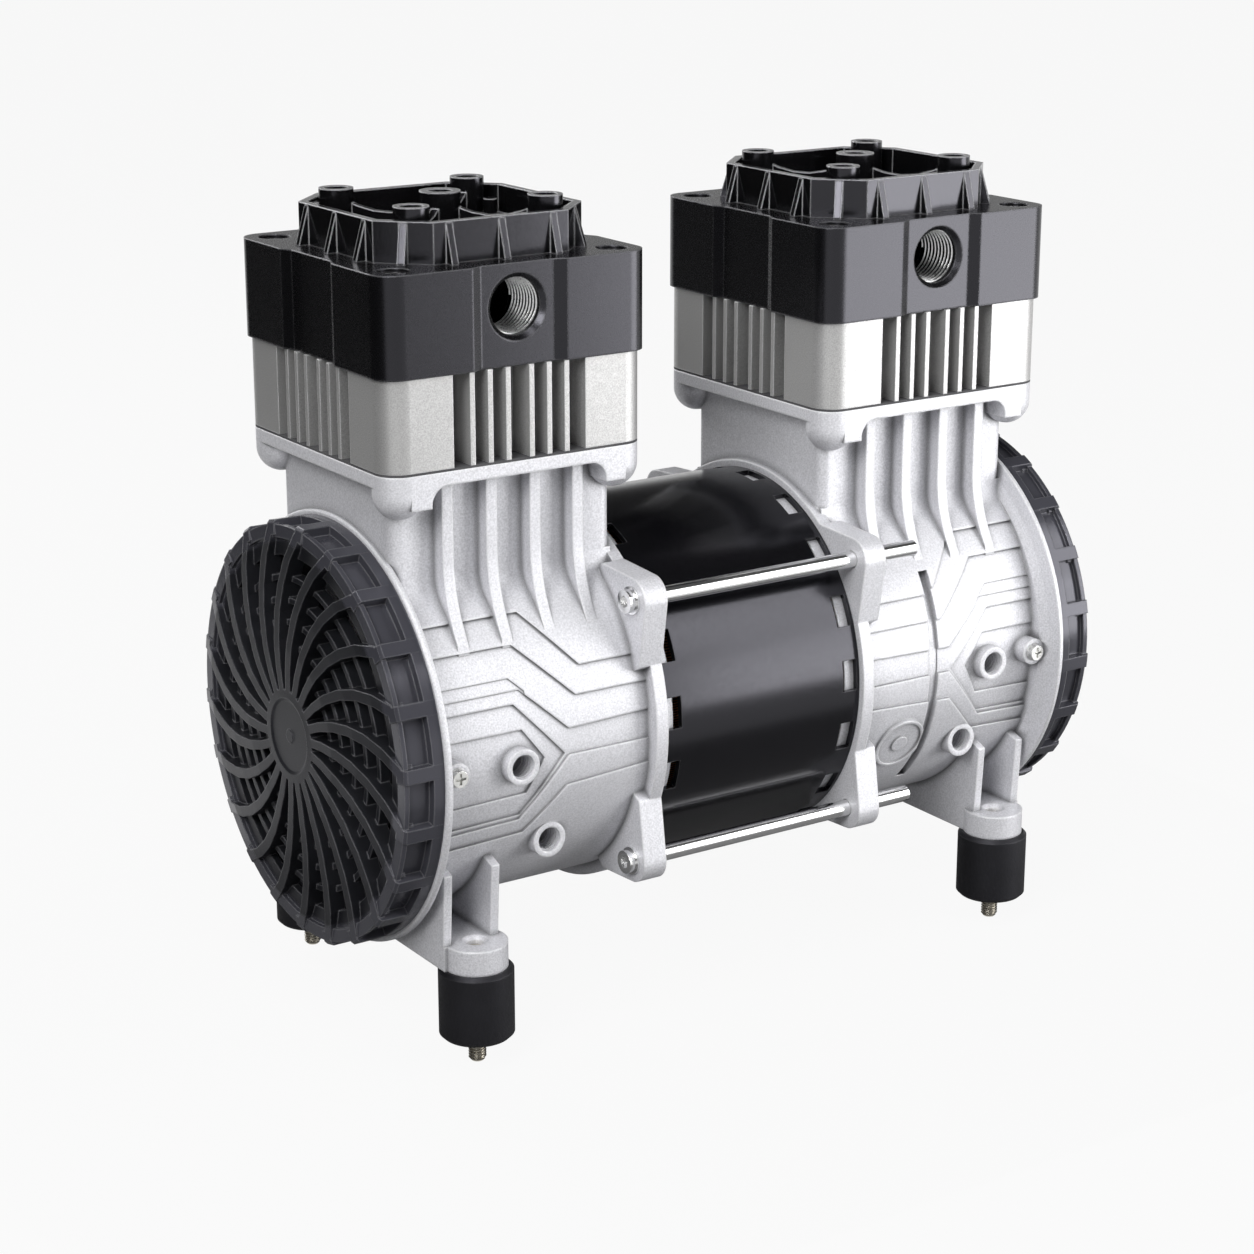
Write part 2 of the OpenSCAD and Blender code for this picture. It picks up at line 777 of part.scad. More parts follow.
guard_r = guard_lug_r - 1.4;
guard_lug_w = 4.8;
guard_wall_r = guard_lug_r - 3.1;
guard_wall_in = guard_wall_r - 2.8;
guard_band_in = guard_wall_in - 6;
guard_side_h = 14;
guard_hub_r = 16;
guard_rib_w = 3;
guard_rib_widening = 1.5;
guard_sweep = 20;
guard_spigot_t = 1.5;
guard_spigot_in = bore_in_r - guard_spigot_t;
guard_spigot_l = 14;
fan_r = guard_spigot_in - fan_room;

function rib_angle(r, turn) =
    turn - guard_sweep * pow((r - guard_hub_r + 2) / (guard_r - guard_hub_r + 2), 1.6);

function rib_half(r) = (guard_rib_w + guard_rib_widening * (r - guard_hub_r) / (guard_r - guard_hub_r)) / 2;

function rib_point(r, turn, side) =
    [r * cos(rib_angle(r, turn) + side * rib_half(r) / r * 180 / PI),
     r * sin(rib_angle(r, turn) + side * rib_half(r) / r * 180 / PI)];

module spiral_rib(turn) {
    radii = [for (i = [0 : 6]) guard_hub_r - 2 + i * (guard_r - guard_hub_r + 1) / 6];
    polygon(concat([for (r = radii) rib_point(r, turn, 1)],
                   [for (i = [6 : -1 : 0]) rib_point(radii[i], turn, -1)]));
}

// The lug in which a rib wraps over the rim and runs down the side wall
module rib_lug(turn) {
    rotate(rib_angle(guard_r, turn))
        translate([guard_r - 5, -guard_lug_w / 2]) square([guard_lug_r - guard_r + 5, guard_lug_w]);
}

// Height of the guard's domed front at a radius
dome = [[guard_lug_r + 1, guard_side_h - 1.5], [guard_lug_r - 1, guard_side_h + 0.3],
        [guard_lug_r - 12.4, guard_side_h + 1.8], [guard_lug_r - 27.4, guard_side_h + 3.2],
        [guard_hub_r + 14, guard_side_h + 4.1],
        [guard_hub_r, guard_h - 0.3], [10, guard_h - 0.05]];

function dome_z(r) = lookup(-r, [for (p = dome) [-p[0], p[1]]]);

// Everything under the domed front of the guard
module guard_dome() {
    rotate_extrude()
        polygon(concat([[0, -30], [guard_lug_r + 1, -30]], dome, [[0, guard_h]]));
}

// A flat ring between two radii and two heights
module flat_ring(r_in, r_out, z0, z1) {
    translate([0, 0, z0])
        difference() {
            cylinder(h = z1 - z0, r = r_out);
            translate([0, 0, -cut]) cylinder(h = z1 - z0 + 2 * cut, r = r_in);
        }
}

// The rings lie under the ribs and follow the dome
guard_ring_w = 2;
guard_ring_below = 3.2;
guard_ring_deep = 4;

module guard_rings() {
    step = (guard_band_in - guard_hub_r) / (rings + 1);
    for (i = [1 : rings]) {
        r = guard_hub_r + i * step;
        top = dome_z(r) - guard_ring_below;
        flat_ring(r - guard_ring_w / 2, r + guard_ring_w / 2, top - guard_ring_deep, top);
    }
}

module guard_hub() {
    rotate_extrude()
        polygon([[0, guard_side_h - 5], [guard_hub_r, guard_side_h - 5], [guard_hub_r, guard_h],
                 [guard_hub_r - 2.5, guard_h], [guard_hub_r - 4, guard_h - 0.8], [2.6, guard_h - 0.8],
                 [2.2, guard_h - 0.4], [0, guard_h - 0.4]]);
}

module fan_guard_shape() {
    intersection() {
        union() {
            flat_ring(guard_wall_in - 6, guard_lug_r, 0, 4);
            flat_ring(guard_wall_in, guard_wall_r, 1, guard_side_h - 0.5);
            flat_ring(guard_wall_in, guard_r, guard_side_h - 1.8, guard_side_h);
            flat_ring(guard_band_in, guard_wall_r - 0.5, guard_side_h - 4, guard_side_h - 1.5);
            flat_ring(guard_spigot_in, bore_in_r - fit, -guard_spigot_l, 1);
            flat_ring(guard_spigot_in, guard_wall_in - 5, 0, 1.5);
            translate([0, 0, guard_side_h - 4])
                linear_extrude(height = 12)
                    for (i = [0 : ribs - 1]) spiral_rib(i * 360 / ribs);
            linear_extrude(height = guard_side_h + 2)
                difference() {
                    for (i = [0 : ribs - 1]) rib_lug(i * 360 / ribs);
                    circle(r = guard_wall_in + 1);
                }
            guard_rings();
            guard_hub();
        }
        guard_dome();
    }
}

module fan_guard() {
    color("#333438")
        difference() {
            translate([rim_x, 0, shaft_z]) rotate([0, 90, 0]) fan_guard_shape();
            for (sy = [-1, 1])
                translate([guard_screw_x, sy * (bore_in_r + 1), shaft_z])
                    rotate([sy * 90, 0, 0]) cylinder(h = 6, r = 2 + fit);
        }
}

// Cross-recess pan-head screws through the barrel into the guard's spigot
module guard_screws() {
    color("#c4c6c8")
        for (sx = [-1, 1], sy = [-1, 1])
            translate([sx * guard_screw_x, sy * guard_screw_seat, shaft_z])
                rotate([sy * 90, 0, 0])
                    difference() {
                        union() {
                            cylinder(h = guard_screw_seat - guard_spigot_in - 0.6, r = 2, $fn = small_fn);
                            translate([0, 0, -2.2]) cylinder(h = 2.2, r1 = 2.8, r2 = 3.4, $fn = small_fn);
                        }
                        for (a = [0, 90])
                            rotate([0, 0, a]) translate([-1.9, -0.4, -3]) cube([3.8, 0.8, 2]);
                    }
}

// Motor

vent_x0 = plate_x - 7.2;
vent_l = 6;
vent_w = 11;

module motor_can() {
    color("#141416")
        difference() {
            sleeve(-plate_x, plate_x, can_r, can_r - can_wall);
            for (side = [-1, 1], i = [0 : vents - 1])
                side_of(side)
                    translate([vent_x0, 0, shaft_z])
                        rotate([-5 + i * 360 / vents, 0, 0])
                            translate([0, -can_r - cut, -vent_w / 2])
                                cube([vent_l, can_wall + 3 * cut, vent_w]);
            rotate_about_shaft(28)
                translate([-plate_x + 9, -can_r - cut, -0.4]) cube([motor_l - 18, cut + 0.4, 0.8]);
        }
}

stator_half = 28;
stator_in_r = 38.6;
rotor_r = 38;
slots = 24;
slot_l = 14;
slot_w = 4;
winding_in_r = 43;
winding_out_r = 58.5;
winding_l = 7.2;

module stator_core() {
    color("#8a8d92")
        translate([-stator_half, 0, shaft_z])
            rotate([0, 90, 0])
                linear_extrude(height = 2 * stator_half)
                    difference() {
                        circle(r = can_r - can_wall - fit);
                        circle(r = stator_in_r);
                        for (i = [0 : slots - 1])
                            rotate(i * 360 / slots)
                                translate([stator_in_r - cut, -slot_w / 2]) square([slot_l, slot_w]);
                    }
}

module stator_windings() {
    color("#b0693a")
        for (side = [-1, 1])
            side_of(side)
                translate([stator_half, 0, shaft_z])
                    rotate([0, 90, 0])
                        rotate_extrude()
                            polygon([[winding_in_r, 0], [winding_out_r - 1.5, 0], [winding_out_r, 2],
                                     [winding_out_r, winding_l - 2.2], [winding_out_r - 1.5, winding_l],
                                     [winding_in_r + 2, winding_l], [winding_in_r, winding_l - 2.2],
                                     [winding_in_r - 0.4, 2]]);
}

tie_seat = plate_x + plate_t;
tie_head_h = 2.4;
tie_head_r = 4;
tie_washer_r = 4.8;
tie_washer_t = 0.9;
tie_tip = 18;

module tie_rods() {
    color("#c9cbcd")
        for (sy = [-1, 1], sz = [-1, 1])
            translate([0, sy * tie_y, sz * tie_z]) {
                axle(-tie_seat - 0.6, tie_seat + tie_tip, tie_d / 2, small_fn);
                difference() {
                    union() {
                        axle(-tie_seat - tie_washer_t, -tie_seat, tie_washer_r, small_fn);
                        axle(-tie_seat - tie_washer_t - tie_head_h, -tie_seat - 0.5, tie_head_r, small_fn);
                    }
                    axle(-tie_seat - cut - tie_washer_t - tie_head_h, -tie_seat - 2, 2.2, 6);
                }
            }
}

// Rubber feet

module rubber_foot(sx, sy) {
    r = rubber_d / 2;
    color("#161617")
        translate([sx * foot_pitch_x / 2, sy * foot_pitch_y / 2, stud_out])
            rotate_extrude()
                polygon([[0, 1.6], [foot_plate_r, 1.6], [foot_plate_r, 0], [r - 1.2, 0], [r, 1.2],
                         [r, rubber_h - 1.2], [r - 1.2, rubber_h], [foot_plate_r, rubber_h],
                         [foot_plate_r, rubber_h - 1.6], [0, rubber_h - 1.6]]);
}

foot_plate_r = 9;

module foot_studs() {
    r = stud_d / 2;
    color("#a8a49b")
        for (sx = [-1, 1], sy = [-1, 1])
            translate([sx * foot_pitch_x / 2, sy * foot_pitch_y / 2, 0]) {
                cylinder(h = 0.6, r1 = r - 0.6, r2 = r, $fn = small_fn);
                translate([0, 0, 0.6]) cylinder(h = stud_out, r = r, $fn = small_fn);
                translate([0, 0, stud_out]) cylinder(h = 1.5, r = foot_plate_r - 0.1);
                translate([0, 0, pad_z - 1.5]) cylinder(h = 1.5, r = foot_plate_r - 0.1);
                translate([0, 0, pad_z - 1]) cylinder(h = pad_t - 1.5, r = r - 0.4, $fn = small_fn);
            }
}

// Main bearings, shaft and rotor

module main_bearing_outer(side) {
    color("#b6b9bd")
        side_of(side) sleeve(bearing_x, bearing_x + bearing_w, bearing_r, bearing_r - outer_ring_t);
}

module main_bearing_inner(side) {
    color("#c2c5c9")
        side_of(side) {
            sleeve(bearing_x, bearing_x + bearing_w, shaft_r + inner_ring_t, shaft_r);
            ring_balls(bearing_x + bearing_w / 2, (bearing_r + shaft_r + inner_ring_t - outer_ring_t) / 2, 8);
        }
}

module motor_shaft() {
    color("#a6a9ad")
        union() {
            axle(-hub_end_x, hub_end_x, shaft_r);
            axle(-fan_x0, fan_x0, crank_seat_r);
            axle(-fan_x0 - fan_w, fan_x0 + fan_w, fan_seat_r);
            axle(-shaft_end_x, shaft_end_x, nut_thread_r);
        }
}

module rotor_core() {
    color("#7d8085")
        difference() {
            union() {
                axle(-stator_half, stator_half, rotor_r);
                axle(-stator_half - 6, stator_half + 6, rotor_r - 3);
            }
            for (sx = [-1, 1])
                side_of(sx) axle(stator_half + 0.5, stator_half + 6 + cut, rotor_r - 12);
            axle(-stator_half - 10, stator_half + 10, shaft_r);
        }
}

// Crank drive: the left crank pin is at the top and the right one at the bottom

function pin_side(side) = side < 0 ? 1 : -1;

module off_centre(side) {
    translate([0, 0, pin_side(side) * crank_throw]) children();
}

weight_r = 36;
weight_t = 10;
weight_gap = 2;

module eccentric(side) {
    up = pin_side(side);
    seat0 = cyl_x - crank_bearing_w / 2;
    seat1 = cyl_x + crank_bearing_w / 2;
    color("#9da0a4")
        side_of(side)
            difference() {
                union() {
                    off_centre(side) axle(seat0 - 4, seat0, crank_bearing_in_r + 2.6);
                    off_centre(side) axle(seat0 - 1, seat1, crank_bearing_in_r);
                    difference() {
                        axle(seat0 - 4 - weight_t, seat0 - 4, weight_r);
                        translate([seat0 - 5 - weight_t, -weight_r - cut,
                                   shaft_z + (up > 0 ? weight_gap : -weight_gap - weight_r)])
                            cube([weight_t + 2, 2 * (weight_r + cut), weight_r]);
                    }
                    axle(seat0 - 4 - weight_t, seat0 - 3, 14);
                }
                axle(seat0 - 6 - weight_t, seat1 + cut, crank_seat_r);
            }
}

module crank_bearing_inner(side) {
    color("#c2c5c9")
        side_of(side) off_centre(side) {
            sleeve(cyl_x - crank_bearing_w / 2, cyl_x + crank_bearing_w / 2,
                   crank_bearing_in_r + crank_ring_t, crank_bearing_in_r);
            ring_balls(cyl_x, (crank_bearing_in_r + crank_bearing_out_r) / 2, 12);
        }
}

module crank_bearing_outer(side) {
    color("#b6b9bd")
        side_of(side) off_centre(side)
            sleeve(cyl_x - crank_bearing_w / 2, cyl_x + crank_bearing_w / 2,
                   crank_bearing_out_r, crank_bearing_out_r - crank_ring_t - 0.05);
}

module connecting_rod(side) {
    big_z = shaft_z + pin_side(side) * crank_throw;
    shank_t = 9;
    color("#c0c2c5")
        side_of(side)
            difference() {
                union() {
                    translate([0, 0, big_z - shaft_z]) axle(cyl_x - rod_t / 2, cyl_x + rod_t / 2, rod_big_r);
                    translate([0, 0, big_z - shaft_z + rod_l]) axle(cyl_x - 9, cyl_x + 9, eye_r);
                    translate([cyl_x - shank_t / 2, 0, big_z])
                        rotate([90, 0, 90])
                            linear_extrude(height = shank_t)
                                polygon([[-11, rod_big_r - 4], [11, rod_big_r - 4],
                                         [6.5, rod_l - 5], [-6.5, rod_l - 5]]);
                }
                for (sx = [-1, 1])
                    translate([cyl_x + (sx > 0 ? 2 : -2 - shank_t), 0, big_z])
                        rotate([90, 0, 90])
                            linear_extrude(height = shank_t)
                                polygon([[-7.5, rod_big_r + 3], [7.5, rod_big_r + 3],
                                         [4.2, rod_l - eye_r - 3], [-4.2, rod_l - eye_r - 3]]);
                translate([0, 0, big_z - shaft_z])
                    axle(cyl_x - rod_t, cyl_x + rod_t, crank_bearing_out_r + run);
                translate([0, 0, big_z - shaft_z + rod_l]) axle(cyl_x - 20, cyl_x + 20, pin_r + run);
            }
}

module wrist_pin(side) {
    pin_z = pin_side(side) * crank_throw + rod_l;
    color("#d0d2d5")
        side_of(side) translate([0, 0, pin_z])
            sleeve(cyl_x - pin_l / 2, cyl_x + pin_l / 2, pin_r, 2.5);
}

// The piston's top at rest: the left one at the top of its stroke, the right one at the bottom
function piston_z(side) = side < 0 ? piston_top_z : piston_top_z - 2 * crank_throw;

ring_h = 3;
ring_depth = 2.2;
rider_h = 7;

module piston(side) {
    r = bore_r - piston_play;
    color("#bfc2c6")
        side_of(side) at_cylinder(piston_z(side) - piston_h)
            rotate_extrude()
                polygon([[0, piston_h - piston_crown_t], [r - piston_wall, piston_h - piston_crown_t],
                         [r - piston_wall, 0], [r - 0.5, 0], [r, 0.5], [r, 4],
                         [r - ring_depth, 4], [r - ring_depth, 4 + rider_h], [r, 4 + rider_h],
                         [r, piston_h - 3 - ring_h], [r - ring_depth, piston_h - 3 - ring_h],
                         [r - ring_depth, piston_h - 3], [r, piston_h - 3],
                         [r, piston_h - 0.5], [r - 0.5, piston_h], [0, piston_h]]);
}

module ring_band(z, h) {
    translate([0, 0, z + run])
        difference() {
            cylinder(h = h - 2 * run, r = bore_r - run);
            translate([0, 0, -cut])
                cylinder(h = h + 2 * cut, r = bore_r - piston_play - ring_depth + run);
        }
}

module piston_rings(side) {
    color("#4a4640")
        side_of(side) at_cylinder(piston_z(side) - piston_h) {
            ring_band(4, rider_h);
            ring_band(piston_h - 3 - ring_h, ring_h);
        }
}

// Cooling fans

fan_hub_r = 15;

module fan(side) {
    blade_t = 2;
    color("#1b1b1d")
        side_of(side)
            difference() {
                union() {
                    axle(fan_x0, fan_x0 + fan_w, fan_hub_r);
                    for (i = [0 : blades - 1])
                        translate([fan_x0 + fan_w / 2, 0, shaft_z])
                            rotate([i * 360 / blades, 0, 0])
                                intersection() {
                                    rotate([0, 0, 38])
                                        translate([-blade_t / 2, -13, fan_hub_r - 5])
                                            cube([blade_t, 26, fan_r - fan_hub_r + 5]);
                                    translate([1 - fan_w / 2, 0, 0])
                                        rotate([0, 90, 0]) cylinder(h = fan_w - 2, r = fan_r);
                                }
                }
                axle(fan_x0 - cut, fan_x0 + fan_w + cut, fan_seat_r);
            }
}

module fan_nuts() {
    color("#b9bbbe")
        for (side = [-1, 1])
            side_of(side)
                difference() {
                    axle(fan_x0 + fan_w, fan_x0 + fan_w + 5, 7, 6);
                    axle(fan_x0, fan_x0 + fan_w + 10, nut_thread_r);
                }
}

crankcase_left();
crankcase_right();
base_gasket(-1);  // base_gasket_left
base_gasket(1);  // base_gasket_right
cylinder_block(-1);  // cylinder_block_left
cylinder_block(1);  // cylinder_block_right
cylinder_liner(-1);  // cylinder_liner_left
cylinder_liner(1);  // cylinder_liner_right
valve_plate(-1);  // valve_plate_left
valve_plate(1);  // valve_plate_right
reed_valves(-1);  // reed_valves_left
reed_valves(1);  // reed_valves_right
head_seal(-1);  // head_seal_left
head_seal(1);  // head_seal_right
cylinder_head(-1);  // cylinder_head_left
cylinder_head(1);  // cylinder_head_right
head_cover(-1);  // head_cover_left
head_cover(1);  // head_cover_right
head_screws(-1);  // head_screws_left
head_screws(1);  // head_screws_right
cover_screws(-1);  // cover_screws_left
cover_screws(1);  // cover_screws_right
rotate([0, 0, 180]) fan_guard();  // fan_guard_left
fan_guard();  // fan_guard_right
guard_screws();
motor_can();
stator_core();
stator_windings();
tie_rods();
rubber_foot(-1, -1);  // rubber_foot_front_left
rubber_foot(1, -1);  // rubber_foot_front_right
rubber_foot(-1, 1);  // rubber_foot_rear_left
rubber_foot(1, 1);  // rubber_foot_rear_right
foot_studs();
main_bearing_outer(-1);  // main_bearing_outer_left
main_bearing_outer(1);  // main_bearing_outer_right
main_bearing_inner(-1);  // main_bearing_inner_left
main_bearing_inner(1);  // main_bearing_inner_right
motor_shaft();
rotor_core();
eccentric(-1);  // eccentric_left
eccentric(1);  // eccentric_right
crank_bearing_inner(-1);  // crank_bearing_inner_left
crank_bearing_inner(1);  // crank_bearing_inner_right
fan(-1);  // fan_left
fan(1);  // fan_right
fan_nuts();
connecting_rod(-1);  // connecting_rod_left
connecting_rod(1);  // connecting_rod_right
crank_bearing_outer(-1);  // crank_bearing_outer_left
crank_bearing_outer(1);  // crank_bearing_outer_right
wrist_pin(-1);  // wrist_pin_left
wrist_pin(1);  // wrist_pin_right
piston(-1);  // piston_left
piston(1);  // piston_right
piston_rings(-1);  // piston_rings_left
piston_rings(1);  // piston_rings_right
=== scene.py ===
# %% [markdown]
# A twin-cylinder piston vacuum pump, dressed for a picture. The solid shapes come from a packed
# CAD model, where every part already has its true size and place. Here each part gets a surface
# that looks like the real one, and the small threaded details are modelled on top.

import json
import math

import bmesh
import bpy
from mathutils import Matrix, Vector


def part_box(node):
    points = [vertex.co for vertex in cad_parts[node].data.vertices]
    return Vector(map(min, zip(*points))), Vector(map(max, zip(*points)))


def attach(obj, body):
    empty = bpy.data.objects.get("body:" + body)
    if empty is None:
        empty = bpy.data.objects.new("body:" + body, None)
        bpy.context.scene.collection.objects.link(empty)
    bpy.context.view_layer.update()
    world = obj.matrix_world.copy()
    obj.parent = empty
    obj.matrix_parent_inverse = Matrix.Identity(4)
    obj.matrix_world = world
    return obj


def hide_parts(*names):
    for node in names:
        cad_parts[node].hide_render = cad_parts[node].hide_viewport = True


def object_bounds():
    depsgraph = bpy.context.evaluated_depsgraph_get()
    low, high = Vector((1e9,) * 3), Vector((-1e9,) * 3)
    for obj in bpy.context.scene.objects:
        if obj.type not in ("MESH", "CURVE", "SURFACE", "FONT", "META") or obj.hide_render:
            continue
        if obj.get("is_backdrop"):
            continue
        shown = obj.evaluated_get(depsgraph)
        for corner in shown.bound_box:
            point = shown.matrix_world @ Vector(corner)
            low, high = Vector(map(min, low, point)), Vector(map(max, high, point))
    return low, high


MM = 0.001

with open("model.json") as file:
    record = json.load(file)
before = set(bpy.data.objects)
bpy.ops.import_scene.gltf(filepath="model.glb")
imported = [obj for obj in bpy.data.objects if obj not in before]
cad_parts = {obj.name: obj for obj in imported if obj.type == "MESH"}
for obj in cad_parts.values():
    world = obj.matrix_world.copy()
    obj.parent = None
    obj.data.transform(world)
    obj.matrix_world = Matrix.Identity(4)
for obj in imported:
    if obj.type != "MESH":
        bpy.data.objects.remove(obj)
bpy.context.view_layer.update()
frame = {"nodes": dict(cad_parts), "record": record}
nodes = frame["nodes"]

# %% [markdown]
# The camera stands in front of the pump, a little to its left and above it. A long lens from a
# metre away keeps the upright cylinders almost parallel, as in a catalogue picture. The place and
# the direction are given as numbers, because a photograph fixes both once a few right angles of
# the object are known.

# %% Camera
EYE = Vector((-0.54786, -0.80152, 0.41106))
LOOK = Vector((0.5316, 0.7959, -0.2897))
LENS_MM = 80.83
SENSOR_MM = 36.0
NEAREST = 0.05
FARTHEST = 20.0

scene = bpy.context.scene
scene.view_settings.view_transform = "Standard"

camera_data = bpy.data.cameras.new("camera")
camera_data.lens = LENS_MM
camera_data.sensor_width = SENSOR_MM
camera_data.clip_start = NEAREST
camera_data.clip_end = FARTHEST
camera = bpy.data.objects.new("camera", camera_data)
camera.location = EYE
camera.rotation_euler = LOOK.to_track_quat("-Z", "Y").to_euler()
scene.collection.objects.link(camera)
scene.camera = camera
print("camera looks along", tuple(round(v, 3) for v in LOOK.normalized()))

# %% [markdown]
# Materials and the world are both made of nodes, so one small helper adds a node and sets its
# options. It saves many lines and keeps the name of each node type next to what is set on it.

# %% Add a node


def add_node(tree, kind, **values):
    node = tree.nodes.new(kind)
    for name, value in values.items():
        setattr(node, name, value)
    return node


# %% [markdown]
# Black gloss needs something to mirror. An image of a studio would do, but a gradient is easier
# to steer. So the room is white along the horizon, where it is the backdrop, and dark overhead,
# which keeps the top of the motor can black. The gradient is read from the height of each
# direction, which is the sine of its angle above the horizon.

# %% Room
ROOM_LEVELS = ((0.0, 1.0), (4.0, 1.0), (8.0, 0.55), (13.0, 0.15), (22.0, 0.08), (90.0, 0.08))
READY_STEPS = 2

world = bpy.data.worlds.new("pale_room")
scene.world = world
world.use_nodes = True
room = world.node_tree
room.nodes.clear()
direction = add_node(room, "ShaderNodeTexCoord")
split = add_node(room, "ShaderNodeSeparateXYZ")
ramp = add_node(room, "ShaderNodeValToRGB")
steps = ramp.color_ramp.elements
for index, (elevation, level) in enumerate(ROOM_LEVELS):
    height = math.sin(math.radians(elevation))
    step = steps[index] if index < READY_STEPS else steps.new(height)
    step.position = height
    step.color = (level, level, level, 1)
lighting = add_node(room, "ShaderNodeBackground")
out = add_node(room, "ShaderNodeOutputWorld")
room.links.new(direction.outputs["Generated"], split.inputs[0])
room.links.new(split.outputs["Z"], ramp.inputs["Fac"])
room.links.new(ramp.outputs["Color"], lighting.inputs["Color"])
room.links.new(lighting.outputs[0], out.inputs["Surface"])
print("room levels:", len(steps))

# %% [markdown]
# Dull castings need light from one side to show their shallow steps. Area lamps act like a
# photographer's soft boxes: a large one to the right in front, which the round motor can mirrors,
# a small low one that fills the front, one for the left faces, one above and one behind. The
# lamps on the left can't be seen in the can, because it only mirrors what stands to the right.

# %% Lamps
CENTRE = Vector((0, 0, 0.14))


def soft_box(name, place, width, height, watts):
    lamp = bpy.data.lights.new(name, "AREA")
    lamp.shape = "RECTANGLE"
    lamp.size = width
    lamp.size_y = height
    lamp.energy = watts
    holder = bpy.data.objects.new(name, lamp)
    holder.location = place
    holder.rotation_euler = (CENTRE - Vector(place)).to_track_quat("-Z", "Y").to_euler()
    holder.visible_camera = False
    scene.collection.objects.link(holder)


soft_box("key_box", place=(0.8, -0.85, 0.68), width=0.6, height=0.6, watts=6.4)
soft_box("low_box", place=(0.50, -0.52, 0.14), width=0.42, height=0.28, watts=2.4)
soft_box("left_box", place=(-1.0, -0.6, 0.85), width=0.6, height=0.6, watts=15.0)
soft_box("top_box", place=(-0.35, -0.35, 1.5), width=0.7, height=0.7, watts=9.0)
soft_box("rear_box", place=(-0.3, 1.3, 0.9), width=0.9, height=0.6, watts=9.0)
print("lamps:", len(bpy.data.lights))

# %% [markdown]
# Black gloss turns grey when it mirrors a white floor. Photographers stand a black card, called a
# flag, beside the object to keep its dark faces dark. One stands to the left, outside the
# picture. A second, grey one lies under the pump, where a real floor would be in the pump's own
# shade. The camera is told to see neither, so the page stays white. A grid of size 0.5 is one
# metre wide, so scaling it by a length in metres gives a card of that length. The upright flag is
# turned about Y, which makes its width its height.

# %% Flags
FLAG_X = -0.34
FLAG_MIDDLE = 0.45
FLAG_DEPTH = 1.2
FLAG_HEIGHT = 0.45
FLAG_GREY = 0.015
CARD_MIDDLE = -0.03
CARD_WIDTH = 0.56
CARD_DEPTH = 0.38
CARD_LIFT = 0.5 * MM
CARD_GREY = 0.20
HALF_METRE = 0.5


def stand_card(name, width, depth, turn, place, grey):
    """A flat card that lights and mirrors see and the camera doesn't."""
    card = bmesh.new()
    bmesh.ops.create_grid(card, x_segments=1, y_segments=1, size=HALF_METRE)
    bmesh.ops.scale(card, vec=(width, depth, 1), verts=card.verts)
    bmesh.ops.rotate(card, cent=(0, 0, 0), matrix=Matrix.Rotation(turn, 3, "Y"), verts=card.verts)
    bmesh.ops.translate(card, vec=place, verts=card.verts)
    mesh = bpy.data.meshes.new(name)
    card.to_mesh(mesh)
    card.free()
    velvet = bpy.data.materials.new(name + "_velvet")
    velvet.use_nodes = True
    shader = velvet.node_tree.nodes["Principled BSDF"]
    shader.inputs["Base Color"].default_value = (grey, grey, grey, 1)
    shader.inputs["Roughness"].default_value = 1.0
    shader.inputs["Specular IOR Level"].default_value = 0.0
    mesh.materials.append(velvet)
    flag = bpy.data.objects.new(name, mesh)
    scene.collection.objects.link(flag)
    flag.visible_camera = False
    flag.visible_shadow = False
    flag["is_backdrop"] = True


stand_card("flag", width=FLAG_HEIGHT, depth=FLAG_DEPTH, turn=math.pi / 2,
           place=(FLAG_X, FLAG_MIDDLE, FLAG_HEIGHT / 2), grey=FLAG_GREY)
stand_card("floor_card", width=CARD_WIDTH, depth=CARD_DEPTH, turn=0.0,
           place=(0, CARD_MIDDLE, CARD_LIFT), grey=CARD_GREY)
print("flags stand beside and under the pump")

# %% [markdown]
# The floor is a plain sheet of paper. Where the camera, a mirror or a clear part sees it, most of
# it is a white glow, so the page stays white, and the rest is real paper, which keeps a soft
# shadow. Everywhere else it is plain grey paper, so it doesn't throw too much light up into the
# dark undersides.

# %% Floor
FLOOR_HALF = 6.0
FLOOR_SHADOW = 0.07
PAPER_GREY = 0.3

sheet = bmesh.new()
bmesh.ops.create_grid(sheet, x_segments=1, y_segments=1, size=FLOOR_HALF)
floor_mesh = bpy.data.meshes.new("floor")
sheet.to_mesh(floor_mesh)
sheet.free()
floor = bpy.data.objects.new("floor", floor_mesh)
scene.collection.objects.link(floor)
floor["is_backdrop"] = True


def seen_directly(tree):
    """1 where the camera, a mirror or a clear part sees the surface, 0 for all other light."""
    path = add_node(tree, "ShaderNodeLightPath")
    mirror = add_node(tree, "ShaderNodeMath", operation="MAXIMUM")
    clear = add_node(tree, "ShaderNodeMath", operation="MAXIMUM")
    tree.links.new(path.outputs["Is Camera Ray"], mirror.inputs[0])
    tree.links.new(path.outputs["Is Glossy Ray"], mirror.inputs[1])
    tree.links.new(mirror.outputs[0], clear.inputs[0])
    tree.links.new(path.outputs["Is Transmission Ray"], clear.inputs[1])
    return clear.outputs[0]


